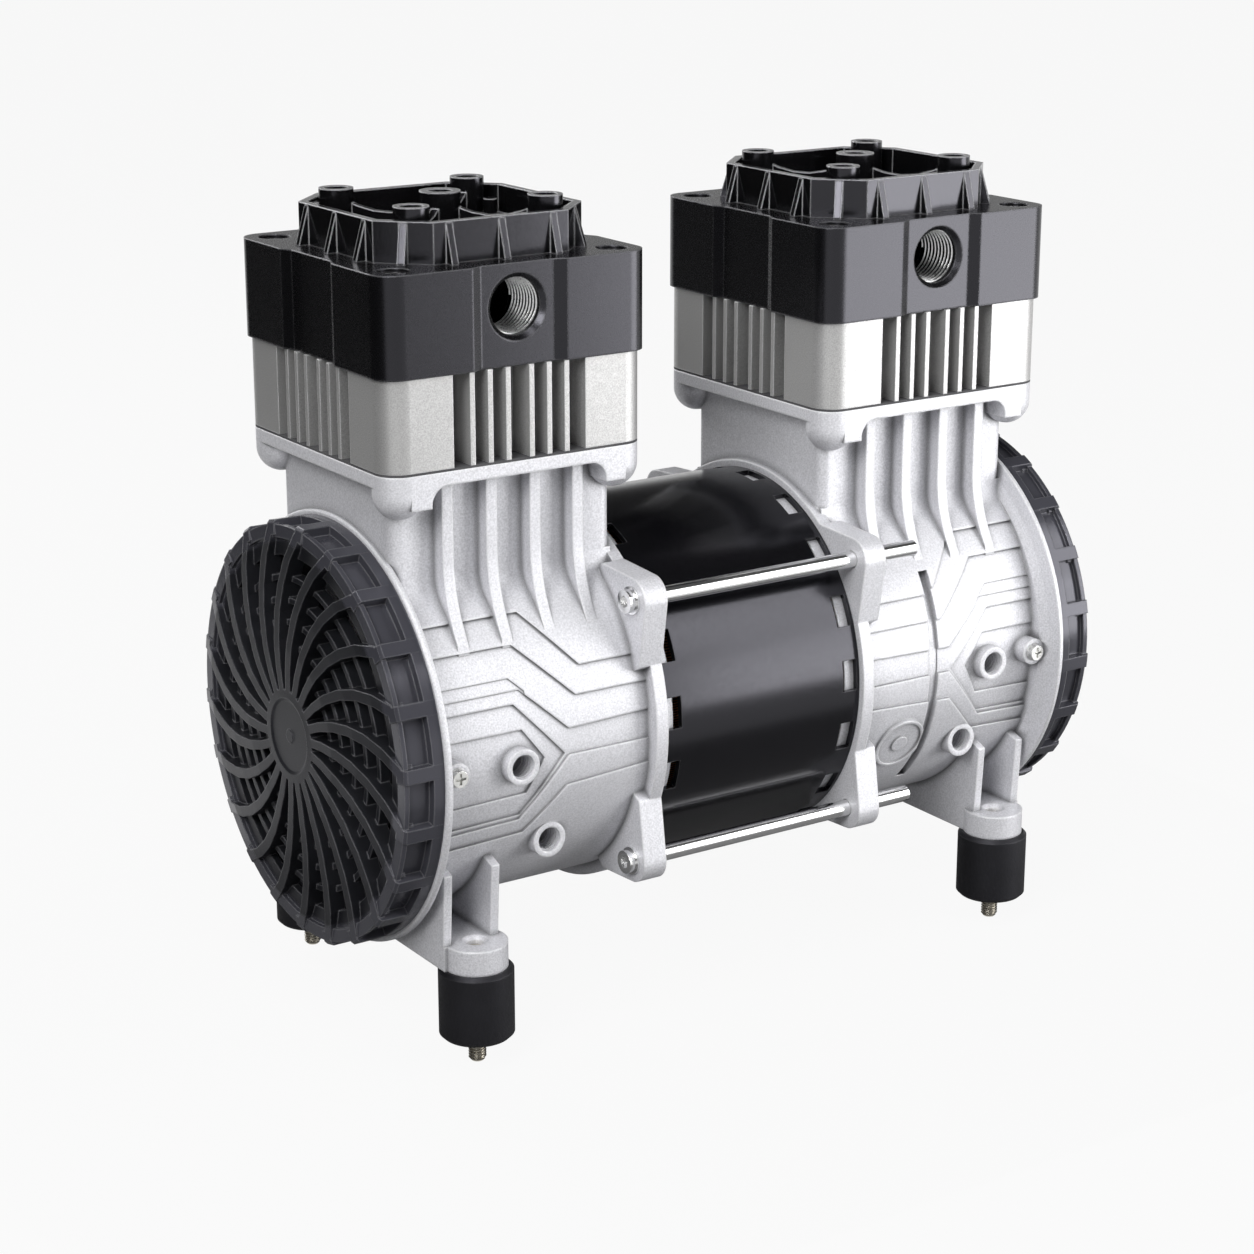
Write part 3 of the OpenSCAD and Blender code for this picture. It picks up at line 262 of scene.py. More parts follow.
paper = bpy.data.materials.new("white_paper")
paper.use_nodes = True
tree = paper.node_tree
tree.nodes.clear()
matt = add_node(tree, "ShaderNodeBsdfDiffuse")
matt.inputs["Color"].default_value = (PAPER_GREY, PAPER_GREY, PAPER_GREY, 1)
glow = add_node(tree, "ShaderNodeEmission")
glow.inputs["Color"].default_value = (1, 1, 1, 1)
share = add_node(tree, "ShaderNodeMath", operation="MULTIPLY")
share.inputs[1].default_value = 1 - FLOOR_SHADOW
blend = add_node(tree, "ShaderNodeMixShader")
surface = add_node(tree, "ShaderNodeOutputMaterial")
tree.links.new(seen_directly(tree), share.inputs[0])
tree.links.new(share.outputs[0], blend.inputs["Fac"])
tree.links.new(matt.outputs[0], blend.inputs[1])
tree.links.new(glow.outputs[0], blend.inputs[2])
tree.links.new(blend.outputs[0], surface.inputs["Surface"])
floor.data.materials.append(paper)
print("floor is", 2 * FLOOR_HALF, "m wide")

# %% [markdown]
# Every finish below is a Principled shader fed by noise in object coordinates, so the grain has
# the same size in millimetres on every part and stays put when a part moves. Blender's noise
# stays mostly between 0.3 and 0.7, so a second helper stretches a range of values to the range
# that is wanted, and a third one does so for values that already fill 0 to 1. The noise's detail
# says how many finer layers lie on top of its coarse blobs.

# %% Noise and ranges
NOISE_LOW = 0.3
NOISE_HIGH = 0.7
SOFT_DETAIL = 2.0
FINE_DETAIL = 3.0
NO_STRETCH = (1, 1, 1)


def grain(tree, size, detail=SOFT_DETAIL, stretch=NO_STRETCH):
    """Noise with blobs about size metres wide; stretch above 1 squeezes them along that axis."""
    place = add_node(tree, "ShaderNodeTexCoord")
    turn = add_node(tree, "ShaderNodeMapping")
    turn.inputs["Scale"].default_value = stretch
    noise = add_node(tree, "ShaderNodeTexNoise")
    noise.inputs["Scale"].default_value = 1 / size
    noise.inputs["Detail"].default_value = detail
    tree.links.new(place.outputs["Object"], turn.inputs["Vector"])
    tree.links.new(turn.outputs["Vector"], noise.inputs["Vector"])
    return noise.outputs["Fac"]


def spread(tree, value, low, high, to_low=0.0, to_high=1.0):
    """Stretches the part of value between low and high to the wanted range."""
    span = add_node(tree, "ShaderNodeMapRange")
    limits = {"From Min": low, "From Max": high, "To Min": to_low, "To Max": to_high}
    for name, number in limits.items():
        span.inputs[name].default_value = number
    tree.links.new(value, span.inputs["Value"])
    return span.outputs["Result"]


def scaled(tree, value, most):
    """Scales a value that runs from 0 to 1, so that it runs from 0 to most."""
    return spread(tree, value, 0.0, 1.0, 0.0, most)


# %% [markdown]
# A value between 0 and 1 can drive two things: a colour, by mixing two others, and a relief, by
# tilting the surface's normal. A bump doesn't change the outline, so it is right for grain far
# smaller than the part. The mix node has sockets of one name for numbers, vectors and colours, so
# the colour ones are picked by their place in the list.

# %% Colour and relief
MIX_FACTOR = 0
MIX_FIRST = 6
MIX_SECOND = 7
MIX_RESULT = 2


def blend_colors(tree, factor, first, second):
    """A colour between first and second, each a tuple or the output of another node."""
    mix = add_node(tree, "ShaderNodeMix", data_type="RGBA")
    tree.links.new(factor, mix.inputs[MIX_FACTOR])
    for socket, color in ((mix.inputs[MIX_FIRST], first), (mix.inputs[MIX_SECOND], second)):
        if isinstance(color, tuple):
            socket.default_value = (*color, 1)
        else:
            tree.links.new(color, socket)
    return mix.outputs[MIX_RESULT]


def bump(tree, height, depth, normal=None):
    """Turns a height from 0 to 1 into a relief depth metres deep."""
    relief = add_node(tree, "ShaderNodeBump")
    relief.inputs["Distance"].default_value = depth
    tree.links.new(height, relief.inputs["Height"])
    if normal is not None:
        tree.links.new(normal, relief.inputs["Normal"])
    return relief.outputs["Normal"]


# %% [markdown]
# No real edge is perfectly sharp. Cutting thousands of small bevels into the CAD meshes would be
# heavy, so the bevel node rounds them in shading. Where its normal leaves the true one, the point
# lies near an edge, and the finishes lighten the colour there as a painted highlight. Narrow
# corners are the opposite: little light reaches them, which the ambient occlusion node finds, and
# the castings darken the colour there as painted shade.

# %% Edges and corners
EDGE_SAMPLES = 4
CORNER_SAMPLES = 6
FLAT_MATCH = 0.995
SHARP_MATCH = 0.86
OPEN_SKY = 0.92
DEEP_CORNER = 0.45


def rounded(tree, radius):
    """A normal that rounds edges, and a number that grows from 0 to 1 towards an edge."""
    soft = add_node(tree, "ShaderNodeBevel", samples=EDGE_SAMPLES)
    soft.inputs["Radius"].default_value = radius
    flat = add_node(tree, "ShaderNodeNewGeometry")
    same = add_node(tree, "ShaderNodeVectorMath", operation="DOT_PRODUCT")
    tree.links.new(soft.outputs["Normal"], same.inputs[0])
    tree.links.new(flat.outputs["Normal"], same.inputs[1])
    return soft.outputs["Normal"], spread(tree, same.outputs["Value"], FLAT_MATCH, SHARP_MATCH)


def corner_shade_mask(tree, reach):
    """1 in narrow corners that little light reaches, 0 out in the open; the mask for painted shade.
    """
    shade = add_node(tree, "ShaderNodeAmbientOcclusion", samples=CORNER_SAMPLES, only_local=True)
    shade.inputs["Distance"].default_value = reach
    return spread(tree, shade.outputs["AO"], OPEN_SKY, DEEP_CORNER)


# %% [markdown]
# All finishes start alike, and many parts share one. The first helper makes a Principled shader
# with its fixed numbers, which stay on the shader's own sockets so that an exported model keeps
# them. The second gives a finish to every CAD part whose name starts in a certain way.

# %% Start a finish and hand it out
COAT_ROUGHNESS = 0.1
PLAIN_SPECULAR = 0.5
NEUTRAL = (1.0, 1.0, 1.0)


def finish(name, metallic, specular=PLAIN_SPECULAR, coat=0.0, tint=NEUTRAL):
    """Makes a material with a Principled shader; gives the material, its tree and the shader."""
    made = bpy.data.materials.new(name)
    made.use_nodes = True
    tree = made.node_tree
    shader = tree.nodes["Principled BSDF"]
    shader.inputs["Metallic"].default_value = metallic
    shader.inputs["Specular IOR Level"].default_value = specular
    shader.inputs["Coat Weight"].default_value = coat
    shader.inputs["Coat Roughness"].default_value = COAT_ROUGHNESS
    shader.inputs["Specular Tint"].default_value = (*tint, 1)
    return made, tree, shader


def dress(made, *names):
    """Gives a material to every CAD node whose name starts with one of the names."""
    count = 0
    for node_name, node in nodes.items():
        if node_name.startswith(names):
            node.data.materials.clear()
            node.data.materials.append(made)
            count += 1
    print(made.name, "on", count, "parts")


# %% [markdown]
# The housings are aluminium die castings that were shot-blasted. The shot leaves dimples a little
# over half a millimetre wide, which scatter light almost as paper does, so the shader is only
# partly metal. Narrow corners get painted shade, a darker colour, and the edges get a painted
# highlight, a paler colour. A cloudy noise of a few centimetres makes the tone uneven.

# %% Cast aluminium
CLOUD_SIZE = 45 * MM
CLOUD_TOP = 0.75
CLOUD_SHARE = 0.3
CAST_HIGHLIGHT_COLOR = (0.86, 0.86, 0.87)
CORNER_SHADE_SHARE = 0.35
CORNER_REACH = 3.2 * MM
GLOSS_SWING = 0.06


def blasted_metal(name, dark, light, metallic, rough, dimple, relief, edge_radius, edge_highlight_share,
                  shade):
    made, tree, shader = finish(name, metallic=metallic)
    normal, edge = rounded(tree, edge_radius)
    fine = grain(tree, dimple, FINE_DETAIL)
    cloud = grain(tree, CLOUD_SIZE, FINE_DETAIL)
    speckled = blend_colors(tree, spread(tree, fine, NOISE_LOW, NOISE_HIGH), dark, light)
    clouded = spread(tree, cloud, NOISE_LOW, CLOUD_TOP, 0.0, CLOUD_SHARE)
    toned = blend_colors(tree, clouded, speckled, dark)
    # Painted highlight: the colour turns paler towards an edge.
    bright = blend_colors(tree, scaled(tree, edge, edge_highlight_share), toned, CAST_HIGHLIGHT_COLOR)
    # Painted shade: the colour turns darker in narrow corners.
    corner = tuple(CORNER_SHADE_SHARE * c for c in dark)
    shade_strength = scaled(tree, corner_shade_mask(tree, CORNER_REACH), shade)
    deep = blend_colors(tree, shade_strength, bright, corner)
    tree.links.new(deep, shader.inputs["Base Color"])
    gloss = spread(tree, fine, NOISE_LOW, NOISE_HIGH, rough + GLOSS_SWING, rough - GLOSS_SWING)
    tree.links.new(gloss, shader.inputs["Roughness"])
    tree.links.new(bump(tree, fine, relief, normal), shader.inputs["Normal"])
    return made


cast = blasted_metal("blasted_casting", dark=(0.49, 0.49, 0.515), light=(0.70, 0.70, 0.73),
                     metallic=0.3, rough=0.48, dimple=0.6 * MM, relief=0.06 * MM,
                     edge_radius=1.1 * MM, edge_highlight_share=0.6, shade=1.0)
dress(cast, "crankcase")

# %% [markdown]
# The finned cylinder blocks are extruded and cut. They are the same metal, but smoother, and look
# darker where they mirror the dark side of the room. So they use the same recipe with more metal
# in it and finer grain.

# %% Finned blocks
block = blasted_metal("milled_block", dark=(0.33, 0.328, 0.326), light=(0.49, 0.488, 0.485),
                      metallic=0.6, rough=0.42, dimple=0.4 * MM, relief=0.035 * MM,
                      edge_radius=0.5 * MM, edge_highlight_share=0.6, shade=0.8)
dress(block, "cylinder_block")

# %% [markdown]
# Turned and ground parts show fine parallel lines. A noise that is squeezed along one axis draws
# them: it tints the metal, roughens it and gives it a slight relief. The axis and the squeeze
# differ from part to part, because each was held another way in the machine.

# %% Pistons, rods, bearings and shaft
TOOL_EDGE_R = 0.3 * MM
TOOL_LINE_DEPTH = 0.02 * MM
TOOL_LINE_SHADE = 0.8
TOOL_LINE_LOW = 0.35
TOOL_LINE_HIGH = 0.65
TOOL_HIGHLIGHT_COLOR = (0.92, 0.92, 0.92)
TOOL_HIGHLIGHT_SHARE = 0.5
TOOL_GLOSS_SWING = 0.12


def machined_metal(name, color, roughness, line, stretch):
    made, tree, shader = finish(name, metallic=1.0)
    normal, edge = rounded(tree, TOOL_EDGE_R)
    lines = grain(tree, line, stretch=stretch)
    darker = tuple(TOOL_LINE_SHADE * c for c in color)
    contrast = spread(tree, lines, TOOL_LINE_LOW, TOOL_LINE_HIGH)
    toned = blend_colors(tree, contrast, darker, color)
    # Painted highlight: the colour turns paler towards an edge.
    bright = blend_colors(tree, scaled(tree, edge, TOOL_HIGHLIGHT_SHARE), toned, TOOL_HIGHLIGHT_COLOR)
    tree.links.new(bright, shader.inputs["Base Color"])
    gloss = spread(tree, lines, NOISE_LOW, NOISE_HIGH, roughness, roughness + TOOL_GLOSS_SWING)
    tree.links.new(gloss, shader.inputs["Roughness"])
    tree.links.new(bump(tree, lines, TOOL_LINE_DEPTH, normal), shader.inputs["Normal"])
    return made


turned_aluminium = machined_metal("turned_aluminium", color=(0.78, 0.78, 0.79), roughness=0.3,
                                  line=0.5 * MM, stretch=(1, 1, 8))
dress(turned_aluminium, "piston_left", "piston_right", "connecting_rod")
honed_liner = machined_metal("honed_liner", color=(0.5, 0.5, 0.51), roughness=0.28,
                             line=0.4 * MM, stretch=(1, 1, 5))
dress(honed_liner, "cylinder_liner")
ground_steel = machined_metal("ground_steel", color=(0.62, 0.63, 0.65), roughness=0.22,
                              line=0.4 * MM, stretch=(9, 1, 1))
dress(ground_steel, "main_bearing", "crank_bearing", "motor_shaft", "wrist_pin", "valve_plate")
blackened_steel = machined_metal("blackened_steel", color=(0.09, 0.09, 0.1), roughness=0.38,
                                 line=0.6 * MM, stretch=NO_STRETCH)
dress(blackened_steel, "eccentric")
reed_steel = machined_metal("reed_steel", color=(0.5, 0.52, 0.55), roughness=0.25,
                            line=0.3 * MM, stretch=(1, 6, 1))
dress(reed_steel, "reed_valves")

# %% [markdown]
# The rods are drawn bright and the screws are zinc plated. Both are smooth metal, so nearly all
# that shows is the room: white from the side, dark from above. A faint cloudy noise in the
# roughness is enough to keep them from looking like glass. The foot studs have a warmer, duller
# plating.

# %% Bright rods and plated screws
MILK_SIZE = 3 * MM
MILK_DETAIL = 4.0
PLATED_EDGE_R = 0.25 * MM


def plated_metal(name, color, shade, roughness, milkiness, relief):
    made, tree, shader = finish(name, metallic=1.0)
    normal, _ = rounded(tree, PLATED_EDGE_R)
    milk = grain(tree, MILK_SIZE, MILK_DETAIL)
    toned = blend_colors(tree, spread(tree, milk, NOISE_LOW, NOISE_HIGH), color, shade)
    tree.links.new(toned, shader.inputs["Base Color"])
    rough = spread(tree, milk, NOISE_LOW, NOISE_HIGH, roughness, roughness + milkiness)
    tree.links.new(rough, shader.inputs["Roughness"])
    tree.links.new(bump(tree, milk, relief, normal), shader.inputs["Normal"])
    return made


drawn_steel = plated_metal("drawn_steel", color=(0.80, 0.80, 0.80), shade=(0.74, 0.74, 0.74),
                           roughness=0.14, milkiness=0.04, relief=0.002 * MM)
dress(drawn_steel, "tie_rods")
zinc = plated_metal("zinc_plating", color=(0.74, 0.74, 0.72), shade=(0.6, 0.6, 0.58),
                    roughness=0.22, milkiness=0.14, relief=0.01 * MM)
dress(zinc, "guard_screws", "fan_nuts")
warm_zinc = plated_metal("stud_plating", color=(0.60, 0.57, 0.50), shade=(0.46, 0.43, 0.37),
                         roughness=0.26, milkiness=0.16, relief=0.01 * MM)
dress(warm_zinc, "foot_studs")

# %% [markdown]
# The cylinder heads are castings with a satin black coat, their covers are glossier, and the
# motor can is enamelled. A coat is nearly black, so what one sees is the blurred room in it,
# slightly cool in tone, and a bright line wherever the bevel node rounds an edge. That line is
# partly a real reflection off the rounded normal and partly a painted highlight, a paler colour
# at the edge. A fine noise gives the coat its slight orange peel.

# %% Black coats
COOL = (0.90, 0.89, 1.0)
COAT_CLOUD = 30 * MM
COAT_SHADE = 0.75
COAT_SWING = 0.06
HIGHLIGHT_START = 0.1
HIGHLIGHT_FULL = 0.9


def black_coat(name, color, specular, roughness, peel, relief, edge_radius, highlight_color, coat_highlight_share):
    made, tree, shader = finish(name, metallic=0.0, specular=specular, tint=COOL)
    normal, edge = rounded(tree, edge_radius)
    skin = grain(tree, peel, FINE_DETAIL)
    cloud = grain(tree, COAT_CLOUD)
    shade = tuple(COAT_SHADE * c for c in color)
    toned = blend_colors(tree, spread(tree, cloud, NOISE_LOW, NOISE_HIGH), shade, color)
    # Painted highlight: the colour turns paler towards an edge.
    highlight_mask = spread(tree, edge, HIGHLIGHT_START, HIGHLIGHT_FULL, 0.0, coat_highlight_share)
    edged = blend_colors(tree, highlight_mask, toned, highlight_color)
    tree.links.new(edged, shader.inputs["Base Color"])
    gloss = spread(tree, skin, NOISE_LOW, NOISE_HIGH, roughness, roughness + COAT_SWING)
    tree.links.new(gloss, shader.inputs["Roughness"])
    tree.links.new(bump(tree, skin, relief, normal), shader.inputs["Normal"])
    return made


satin_black = black_coat("satin_black", color=(0.003, 0.003, 0.0034), specular=0.45, roughness=0.23,
                         peel=0.4 * MM, relief=0.010 * MM, edge_radius=0.9 * MM,
                         highlight_color=(0.22, 0.22, 0.23), coat_highlight_share=0.5)
dress(satin_black, "cylinder_head")
gloss_black = black_coat("gloss_black", color=(0.003, 0.003, 0.0033), specular=0.5, roughness=0.14,
                         peel=0.8 * MM, relief=0.008 * MM, edge_radius=0.8 * MM,
                         highlight_color=(0.6, 0.6, 0.62), coat_highlight_share=0.7)
dress(gloss_black, "head_cover")
enamel_black = black_coat("enamel_black", color=(0.002, 0.002, 0.0026), specular=0.4,
                          roughness=0.17, peel=1.5 * MM, relief=0.004 * MM,
                          edge_radius=0.4 * MM, highlight_color=(0.2, 0.2, 0.2), coat_highlight_share=0.3)
dress(enamel_black, "motor_can")
screw_black = black_coat("screw_black", color=(0.02, 0.02, 0.021), specular=0.5, roughness=0.2,
                         peel=0.4 * MM, relief=0.01 * MM, edge_radius=0.3 * MM,
                         highlight_color=(0.4, 0.4, 0.4), coat_highlight_share=0.6)
dress(screw_black, "cover_screws", "head_screws")

# %% [markdown]
# The guards are moulded from charcoal plastic. Their face has a fine spark-eroded texture that
# looks grey, and the wall round them is polished by the mould's slides and shines: it is smoother,
# and its paler, cooler colour is a painted sheen. One material does both: it blends the two by the
# distance from the shaft's axis, which a few vector nodes measure.

# %% Distance from the shaft
shaft_low, shaft_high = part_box("motor_shaft")
SHAFT_Z = (shaft_low[2] + shaft_high[2]) / 2
GUARD_WALL_R = 66.0 * MM
WALL_BLEND = 1.5 * MM
WALL_SMOOTHER = 0.26


def from_shaft(tree, low, high):
    """0 to 1 as the distance from the motor shaft's axis goes from low to high."""
    place = add_node(tree, "ShaderNodeTexCoord")
    lower = add_node(tree, "ShaderNodeVectorMath", operation="SUBTRACT")
    lower.inputs[1].default_value = (0, 0, SHAFT_Z)
    flatten = add_node(tree, "ShaderNodeVectorMath", operation="MULTIPLY")
    flatten.inputs[1].default_value = (0, 1, 1)
    reach = add_node(tree, "ShaderNodeVectorMath", operation="LENGTH")
    tree.links.new(place.outputs["Object"], lower.inputs[0])
    tree.links.new(lower.outputs[0], flatten.inputs[0])
    tree.links.new(flatten.outputs[0], reach.inputs[0])
    return spread(tree, reach.outputs["Value"], low, high)


print("the shaft lies", round(SHAFT_Z / MM, 1), "mm above the floor")

# %% [markdown]
# Fans, rubber feet, gaskets and piston rings are plainer than the guards, and share their recipe.
# A skin noise gives the moulded texture, and a larger one makes the bloom, a pale film that
# lightens plastic and rubber in clouds.

# %% Plastic and rubber
BLOOM_SIZE = 14 * MM
BLOOM_LOW = 0.35
BLOOM_HIGH = 0.75
SKIN_SWING = 0.1
PLASTIC_SPECULAR = 0.4


def dull_plastic(name, color, pale, roughness, texture, relief, edge_radius, highlight_color, edge_highlight_share,
                 wall_sheen_color=None):
    made, tree, shader = finish(name, metallic=0.0, specular=PLASTIC_SPECULAR, tint=COOL)
    normal, edge = rounded(tree, edge_radius)
    skin = grain(tree, texture)
    bloom = grain(tree, BLOOM_SIZE, FINE_DETAIL)
    toned = blend_colors(tree, spread(tree, bloom, BLOOM_LOW, BLOOM_HIGH), color, pale)
    rough = spread(tree, skin, NOISE_LOW, NOISE_HIGH, roughness, roughness + SKIN_SWING)
    # The wall's paler, cooler colour is a painted sheen; its lower roughness is real.
    if wall_sheen_color is not None:
        wall = from_shaft(tree, GUARD_WALL_R - WALL_BLEND, GUARD_WALL_R)
        toned = blend_colors(tree, wall, toned, wall_sheen_color)
        smoother = add_node(tree, "ShaderNodeMath", operation="MULTIPLY_ADD")
        smoother.inputs[1].default_value = -WALL_SMOOTHER
        tree.links.new(wall, smoother.inputs[0])
        tree.links.new(rough, smoother.inputs[2])
        rough = smoother.outputs[0]
    # Painted highlight: the colour turns paler towards an edge.
    edged = blend_colors(tree, scaled(tree, edge, edge_highlight_share), toned, highlight_color)
    tree.links.new(edged, shader.inputs["Base Color"])
    tree.links.new(rough, shader.inputs["Roughness"])
    tree.links.new(bump(tree, skin, relief, normal), shader.inputs["Normal"])
    return made


guard_plastic = dull_plastic("guard_plastic", color=(0.007, 0.0074, 0.009),
                             pale=(0.012, 0.0124, 0.0145), roughness=0.36, texture=0.35 * MM,
                             relief=0.02 * MM, edge_radius=0.7 * MM, highlight_color=(0.20, 0.20, 0.21),
                             edge_highlight_share=0.5, wall_sheen_color=(0.040, 0.040, 0.048))
dress(guard_plastic, "fan_guard")
fan_plastic = dull_plastic("fan_plastic", color=(0.012, 0.012, 0.013), pale=(0.02, 0.02, 0.022),
                           roughness=0.45, texture=0.5 * MM, relief=0.03 * MM, edge_radius=0.4 * MM,
                           highlight_color=(0.1, 0.1, 0.1), edge_highlight_share=0.2)
dress(fan_plastic, "fan_left", "fan_right")
foot_rubber = dull_plastic("foot_rubber", color=(0.003, 0.003, 0.0034), pale=(0.006, 0.006, 0.007),
                           roughness=0.45, texture=0.9 * MM, relief=0.03 * MM, edge_radius=0.6 * MM,
                           highlight_color=(0.1, 0.1, 0.1), edge_highlight_share=0.2)
dress(foot_rubber, "rubber_foot", "head_seal")
gasket_fibre = dull_plastic("gasket_fibre", color=(0.05, 0.05, 0.052), pale=(0.08, 0.08, 0.08),
                            roughness=0.7, texture=0.5 * MM, relief=0.05 * MM, edge_radius=0.2 * MM,
                            highlight_color=(0.1, 0.1, 0.1), edge_highlight_share=0.1)
dress(gasket_fibre, "base_gasket")
ring_plastic = dull_plastic("ring_plastic", color=(0.10, 0.09, 0.08), pale=(0.14, 0.13, 0.12),
                            roughness=0.45, texture=0.5 * MM, relief=0.02 * MM,
                            edge_radius=0.2 * MM, highlight_color=(0.2, 0.19, 0.18), edge_highlight_share=0.1)
dress(ring_plastic, "piston_rings")

# %% [markdown]
# Inside the motor can sit the stacked laminations and the copper windings, which show as bright
# spots behind the vent windows. The sheets are half a millimetre thick, so a wave along the shaft
# draws them. The windings are drawn by a wave along the height, with enamel on top. At scale 1
# the wave node repeats every tenth of pi units, which turns a pitch in metres into its scale.

# %% Motor inside
WAVE_LENGTH = math.pi / 10
WAVE_WOBBLE = 0.6
WOBBLE_SCALE = 40.0
GROOVE_SHARE = 0.2
GROOVE_LOW = 0.1
GROOVE_HIGH = 0.5


def striped_metal(name, color, gap, pitch, direction, roughness, coat):
    made, tree, shader = finish(name, metallic=1.0, coat=coat)
    place = add_node(tree, "ShaderNodeTexCoord")
    wave = add_node(tree, "ShaderNodeTexWave", bands_direction=direction)
    wave.inputs["Scale"].default_value = WAVE_LENGTH / pitch
    wave.inputs["Distortion"].default_value = WAVE_WOBBLE
    wave.inputs["Detail Scale"].default_value = WOBBLE_SCALE
    tree.links.new(place.outputs["Object"], wave.inputs["Vector"])
    stripe = spread(tree, wave.outputs["Fac"], GROOVE_LOW, GROOVE_HIGH)
    toned = blend_colors(tree, stripe, gap, color)
    tree.links.new(toned, shader.inputs["Base Color"])
    shader.inputs["Roughness"].default_value = roughness
    tree.links.new(bump(tree, wave.outputs["Fac"], GROOVE_SHARE * pitch), shader.inputs["Normal"])
    return made


laminations = striped_metal("laminations", color=(0.45, 0.46, 0.48), gap=(0.16, 0.16, 0.17),
                            pitch=0.5 * MM, direction="X", roughness=0.4, coat=0.0)
dress(laminations, "stator_core", "rotor_core")
copper_coils = striped_metal("copper_coils", color=(0.80, 0.42, 0.22), gap=(0.25, 0.10, 0.05),
                             pitch=0.9 * MM, direction="Z", roughness=0.3, coat=0.5)
dress(copper_coils, "stator_windings")

# %% [markdown]
# New pieces are drawn upright round the Z axis, because spinning and measuring are easy there,
# and then turned to their place. The object itself stays at the origin, with its place in its
# mesh. Each piece is told which body of the pump it moves with.

# %% Make a piece and put it in place


def add_piece(name, mesh_data, material, body):
    """Turns a finished bmesh into an object that rides on a body and has a finish."""
    mesh = bpy.data.meshes.new(name)
    mesh_data.to_mesh(mesh)
    mesh_data.free()
    mesh.materials.append(material)
    piece = bpy.data.objects.new(name, mesh)
    scene.collection.objects.link(piece)
    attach(piece, body)
    print(name, "has", len(mesh.polygons), "faces")
    return piece


def point_along(mesh_data, place, axis):
    """Turns a shape drawn along Z to another axis and puts its foot at a place."""
    turn = Vector((0, 0, 1)).rotation_difference(Vector(axis)).to_matrix().to_4x4()
    bmesh.ops.transform(mesh_data, matrix=Matrix.Translation(place) @ turn, verts=mesh_data.verts)


# %% [markdown]
# A thread is one ridge wound round and round. A wedge with a narrow flat crest is spun about the
# axis and climbs by one pitch at each turn. The ridge takes up less than half of the pitch, so
# that a dark valley shows between two turns, as it does in a real bore. A normal map could fake
# it, but would look flat at the bore's mouth, where the outline of the turns is seen.

# %% Wind a thread
THREAD_STEPS = 64
RIDGE_START = 0.28
CREST_START = 0.45
CREST_END = 0.55
RIDGE_END = 0.72


def thread_ridge(foot_r, crest_r, pitch, length):
    """A helical ridge round Z from height 0 up, from foot_r at its root to crest_r at its top."""
    ridge = bmesh.new()
    section = [(foot_r, RIDGE_START), (crest_r, CREST_START),
               (crest_r, CREST_END), (foot_r, RIDGE_END)]
    corners = [ridge.verts.new((r, 0, part * pitch)) for r, part in section]
    start = ridge.faces.new(corners)
    turns = length / pitch - 1
    steps = round(turns * THREAD_STEPS)
    climb = turns * pitch / steps
    bmesh.ops.spin(ridge, geom=[start], cent=(0, 0, 0), axis=(0, 0, 1), angle=math.tau * turns,
                   dvec=(0, 0, climb), steps=steps, use_merge=False, use_duplicate=False)
    bmesh.ops.recalc_face_normals(ridge, faces=ridge.faces)
    return ridge


# %% [markdown]
# The pipe ports are tapped after the heads are coated, so their threads are bare metal. The side
# holes are tapped into the bare castings. The CAD part has plain bores of the thread's core
# diameter, so the ridge stands a little inside them. The frame lists the place, axis and size of
# each bore. The castings are one part turned half round, so the holes at the back are those at
# the front after a half turn.

# %% Threads in the ports and side holes
PORT_PITCH = 1.81 * MM
HOLE_PITCH = 1.5 * MM
WIDE_BORE_R = 6 * MM
RIDGE_SHARE = 0.26
RIDGE_SINK = 0.02 * MM
THREAD_INSET = 0.2 * MM
THREAD_SHORTER = 0.6 * MM

tapped = machined_metal("tapped_aluminium", color=(0.72, 0.72, 0.72), roughness=0.25,
                        line=0.5 * MM, stretch=NO_STRETCH)


def cut_thread(name, dims, place, axis):
    bore_r = dims["r_mm"] * MM
    length = dims["length_mm"] * MM
    wide = bore_r > WIDE_BORE_R
    pitch = PORT_PITCH if wide else HOLE_PITCH
    depth = RIDGE_SHARE * pitch
    foot = place - axis * (length / 2 - THREAD_INSET)
    ridge = thread_ridge(bore_r + RIDGE_SINK, bore_r - depth, pitch, length - THREAD_SHORTER)
    point_along(ridge, foot, axis)
    add_piece("thread_" + name, ridge, tapped if wide else cast, "pump")


half_turn = Matrix.Rotation(math.pi, 3, "Z")
for mount in frame["record"]["mounts"]:
    if mount["kind"] != "threaded_hole":
        continue
    place = Vector(mount["pos_m"])
    axis = Vector(mount["axis"])
    cut_thread(mount["name"], mount["dims"], place, axis)
    if mount["name"].startswith("side_hole"):
        cut_thread("rear_" + mount["name"], mount["dims"], half_turn @ place, half_turn @ axis)

# %% [markdown]
# Each rubber foot is moulded between two steel discs, and a stud is welded to each disc. Only the
# lower threaded stud and the edge of the lower disc are seen. A turned part is easiest as a spun
# outline, and the M6 thread is wound round it. The CAD studs are plain, so these pieces stand in
# for them.

# %% One foot stud
STUD_R = 3 * MM
STUD_CORE_R = 2.5 * MM
STUD_PITCH = 1.0 * MM
STUD_OUT = 9.5 * MM
DISC_R = 8.9 * MM
DISC_T = 1.5 * MM
FOOT_TOP = 34.3 * MM
STUD_TOP = 40.4 * MM
TIP_IN = 0.4 * MM
TIP_UP = 0.5 * MM
STUD_SINK = 0.05 * MM
TURNED_STEPS = 48
SAME_POINT = 1e-7


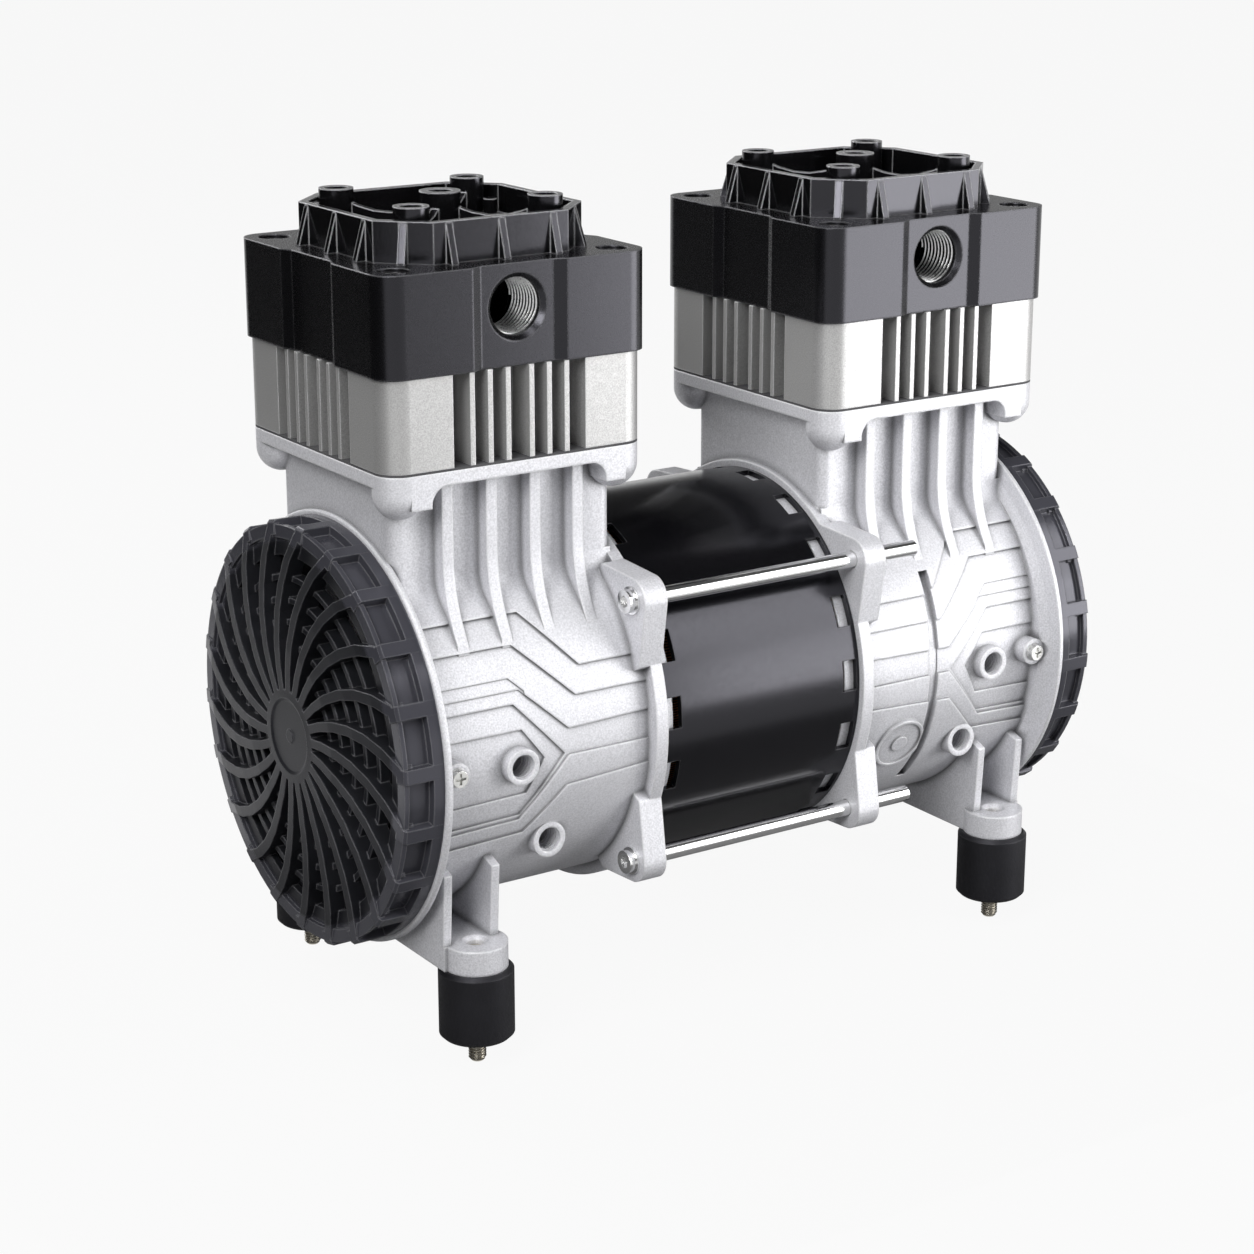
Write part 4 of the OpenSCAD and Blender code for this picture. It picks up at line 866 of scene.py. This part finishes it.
def lathe(mesh_data, profile):
    """Spins a line of (radius, height) points a full turn about Z."""
    points = [mesh_data.verts.new((r, 0, z)) for r, z in profile]
    lines = [mesh_data.edges.new(pair) for pair in zip(points, points[1:])]
    bmesh.ops.spin(mesh_data, geom=points + lines, cent=(0, 0, 0), axis=(0, 0, 1), angle=math.tau,
                   steps=TURNED_STEPS, use_merge=True, use_duplicate=False)
    bmesh.ops.remove_doubles(mesh_data, verts=mesh_data.verts, dist=SAME_POINT)
    bmesh.ops.recalc_face_normals(mesh_data, faces=mesh_data.faces)


def foot_stud():
    whole = bmesh.new()
    lathe(whole, [(0, 0), (STUD_CORE_R - TIP_IN, 0), (STUD_CORE_R, TIP_UP), (STUD_CORE_R, STUD_OUT),
                  (DISC_R, STUD_OUT), (DISC_R, STUD_OUT + DISC_T), (0, STUD_OUT + DISC_T)])
    lathe(whole, [(0, FOOT_TOP - DISC_T), (DISC_R, FOOT_TOP - DISC_T), (DISC_R, FOOT_TOP),
                  (STUD_R, FOOT_TOP), (STUD_R, STUD_TOP), (0, STUD_TOP)])
    winding = thread_ridge(STUD_CORE_R - STUD_SINK, STUD_R, STUD_PITCH, STUD_OUT - 2 * THREAD_INSET)
    rise = Matrix.Translation((0, 0, THREAD_INSET))
    bmesh.ops.transform(winding, matrix=rise, verts=winding.verts)
    temporary = bpy.data.meshes.new("winding")
    winding.to_mesh(temporary)
    winding.free()
    whole.from_mesh(temporary)
    bpy.data.meshes.remove(temporary)
    return whole


# %% [markdown]
# The four studs stand at the corners of a rectangle that the frame gives as a bolt pattern, so
# they follow the CAD part if its feet move. Together they replace one CAD part, which holds all
# four plain studs.

# %% Four foot studs
CORNERS = {
    "front_left": (-1, -1),
    "front_right": (1, -1),
    "rear_left": (-1, 1),
    "rear_right": (1, 1),
}
studs = next(m for m in frame["record"]["mounts"] if m["kind"] == "bolt_pattern")
foot_x = studs["dims"]["spacing_x_mm"] * MM / 2
foot_y = studs["dims"]["spacing_y_mm"] * MM / 2

stud_pieces = []
for name, (x, y) in CORNERS.items():
    stud = foot_stud()
    corner = Matrix.Translation((x * foot_x, y * foot_y, 0))
    bmesh.ops.transform(stud, matrix=corner, verts=stud.verts)
    stud_pieces.append(add_piece("stud_" + name, stud, warm_zinc, "pump"))
for piece in stud_pieces:
    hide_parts("foot_studs")

# %% [markdown]
# Blender only dresses the part. The box round all that is visible now is measured, and its size
# is printed in millimetres.

# %% Measure the finished pump
final_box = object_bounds()
size_mm = [round((high - low) / MM, 1) for low, high in zip(*final_box)]
print("the finished pump measures", size_mm, "mm")
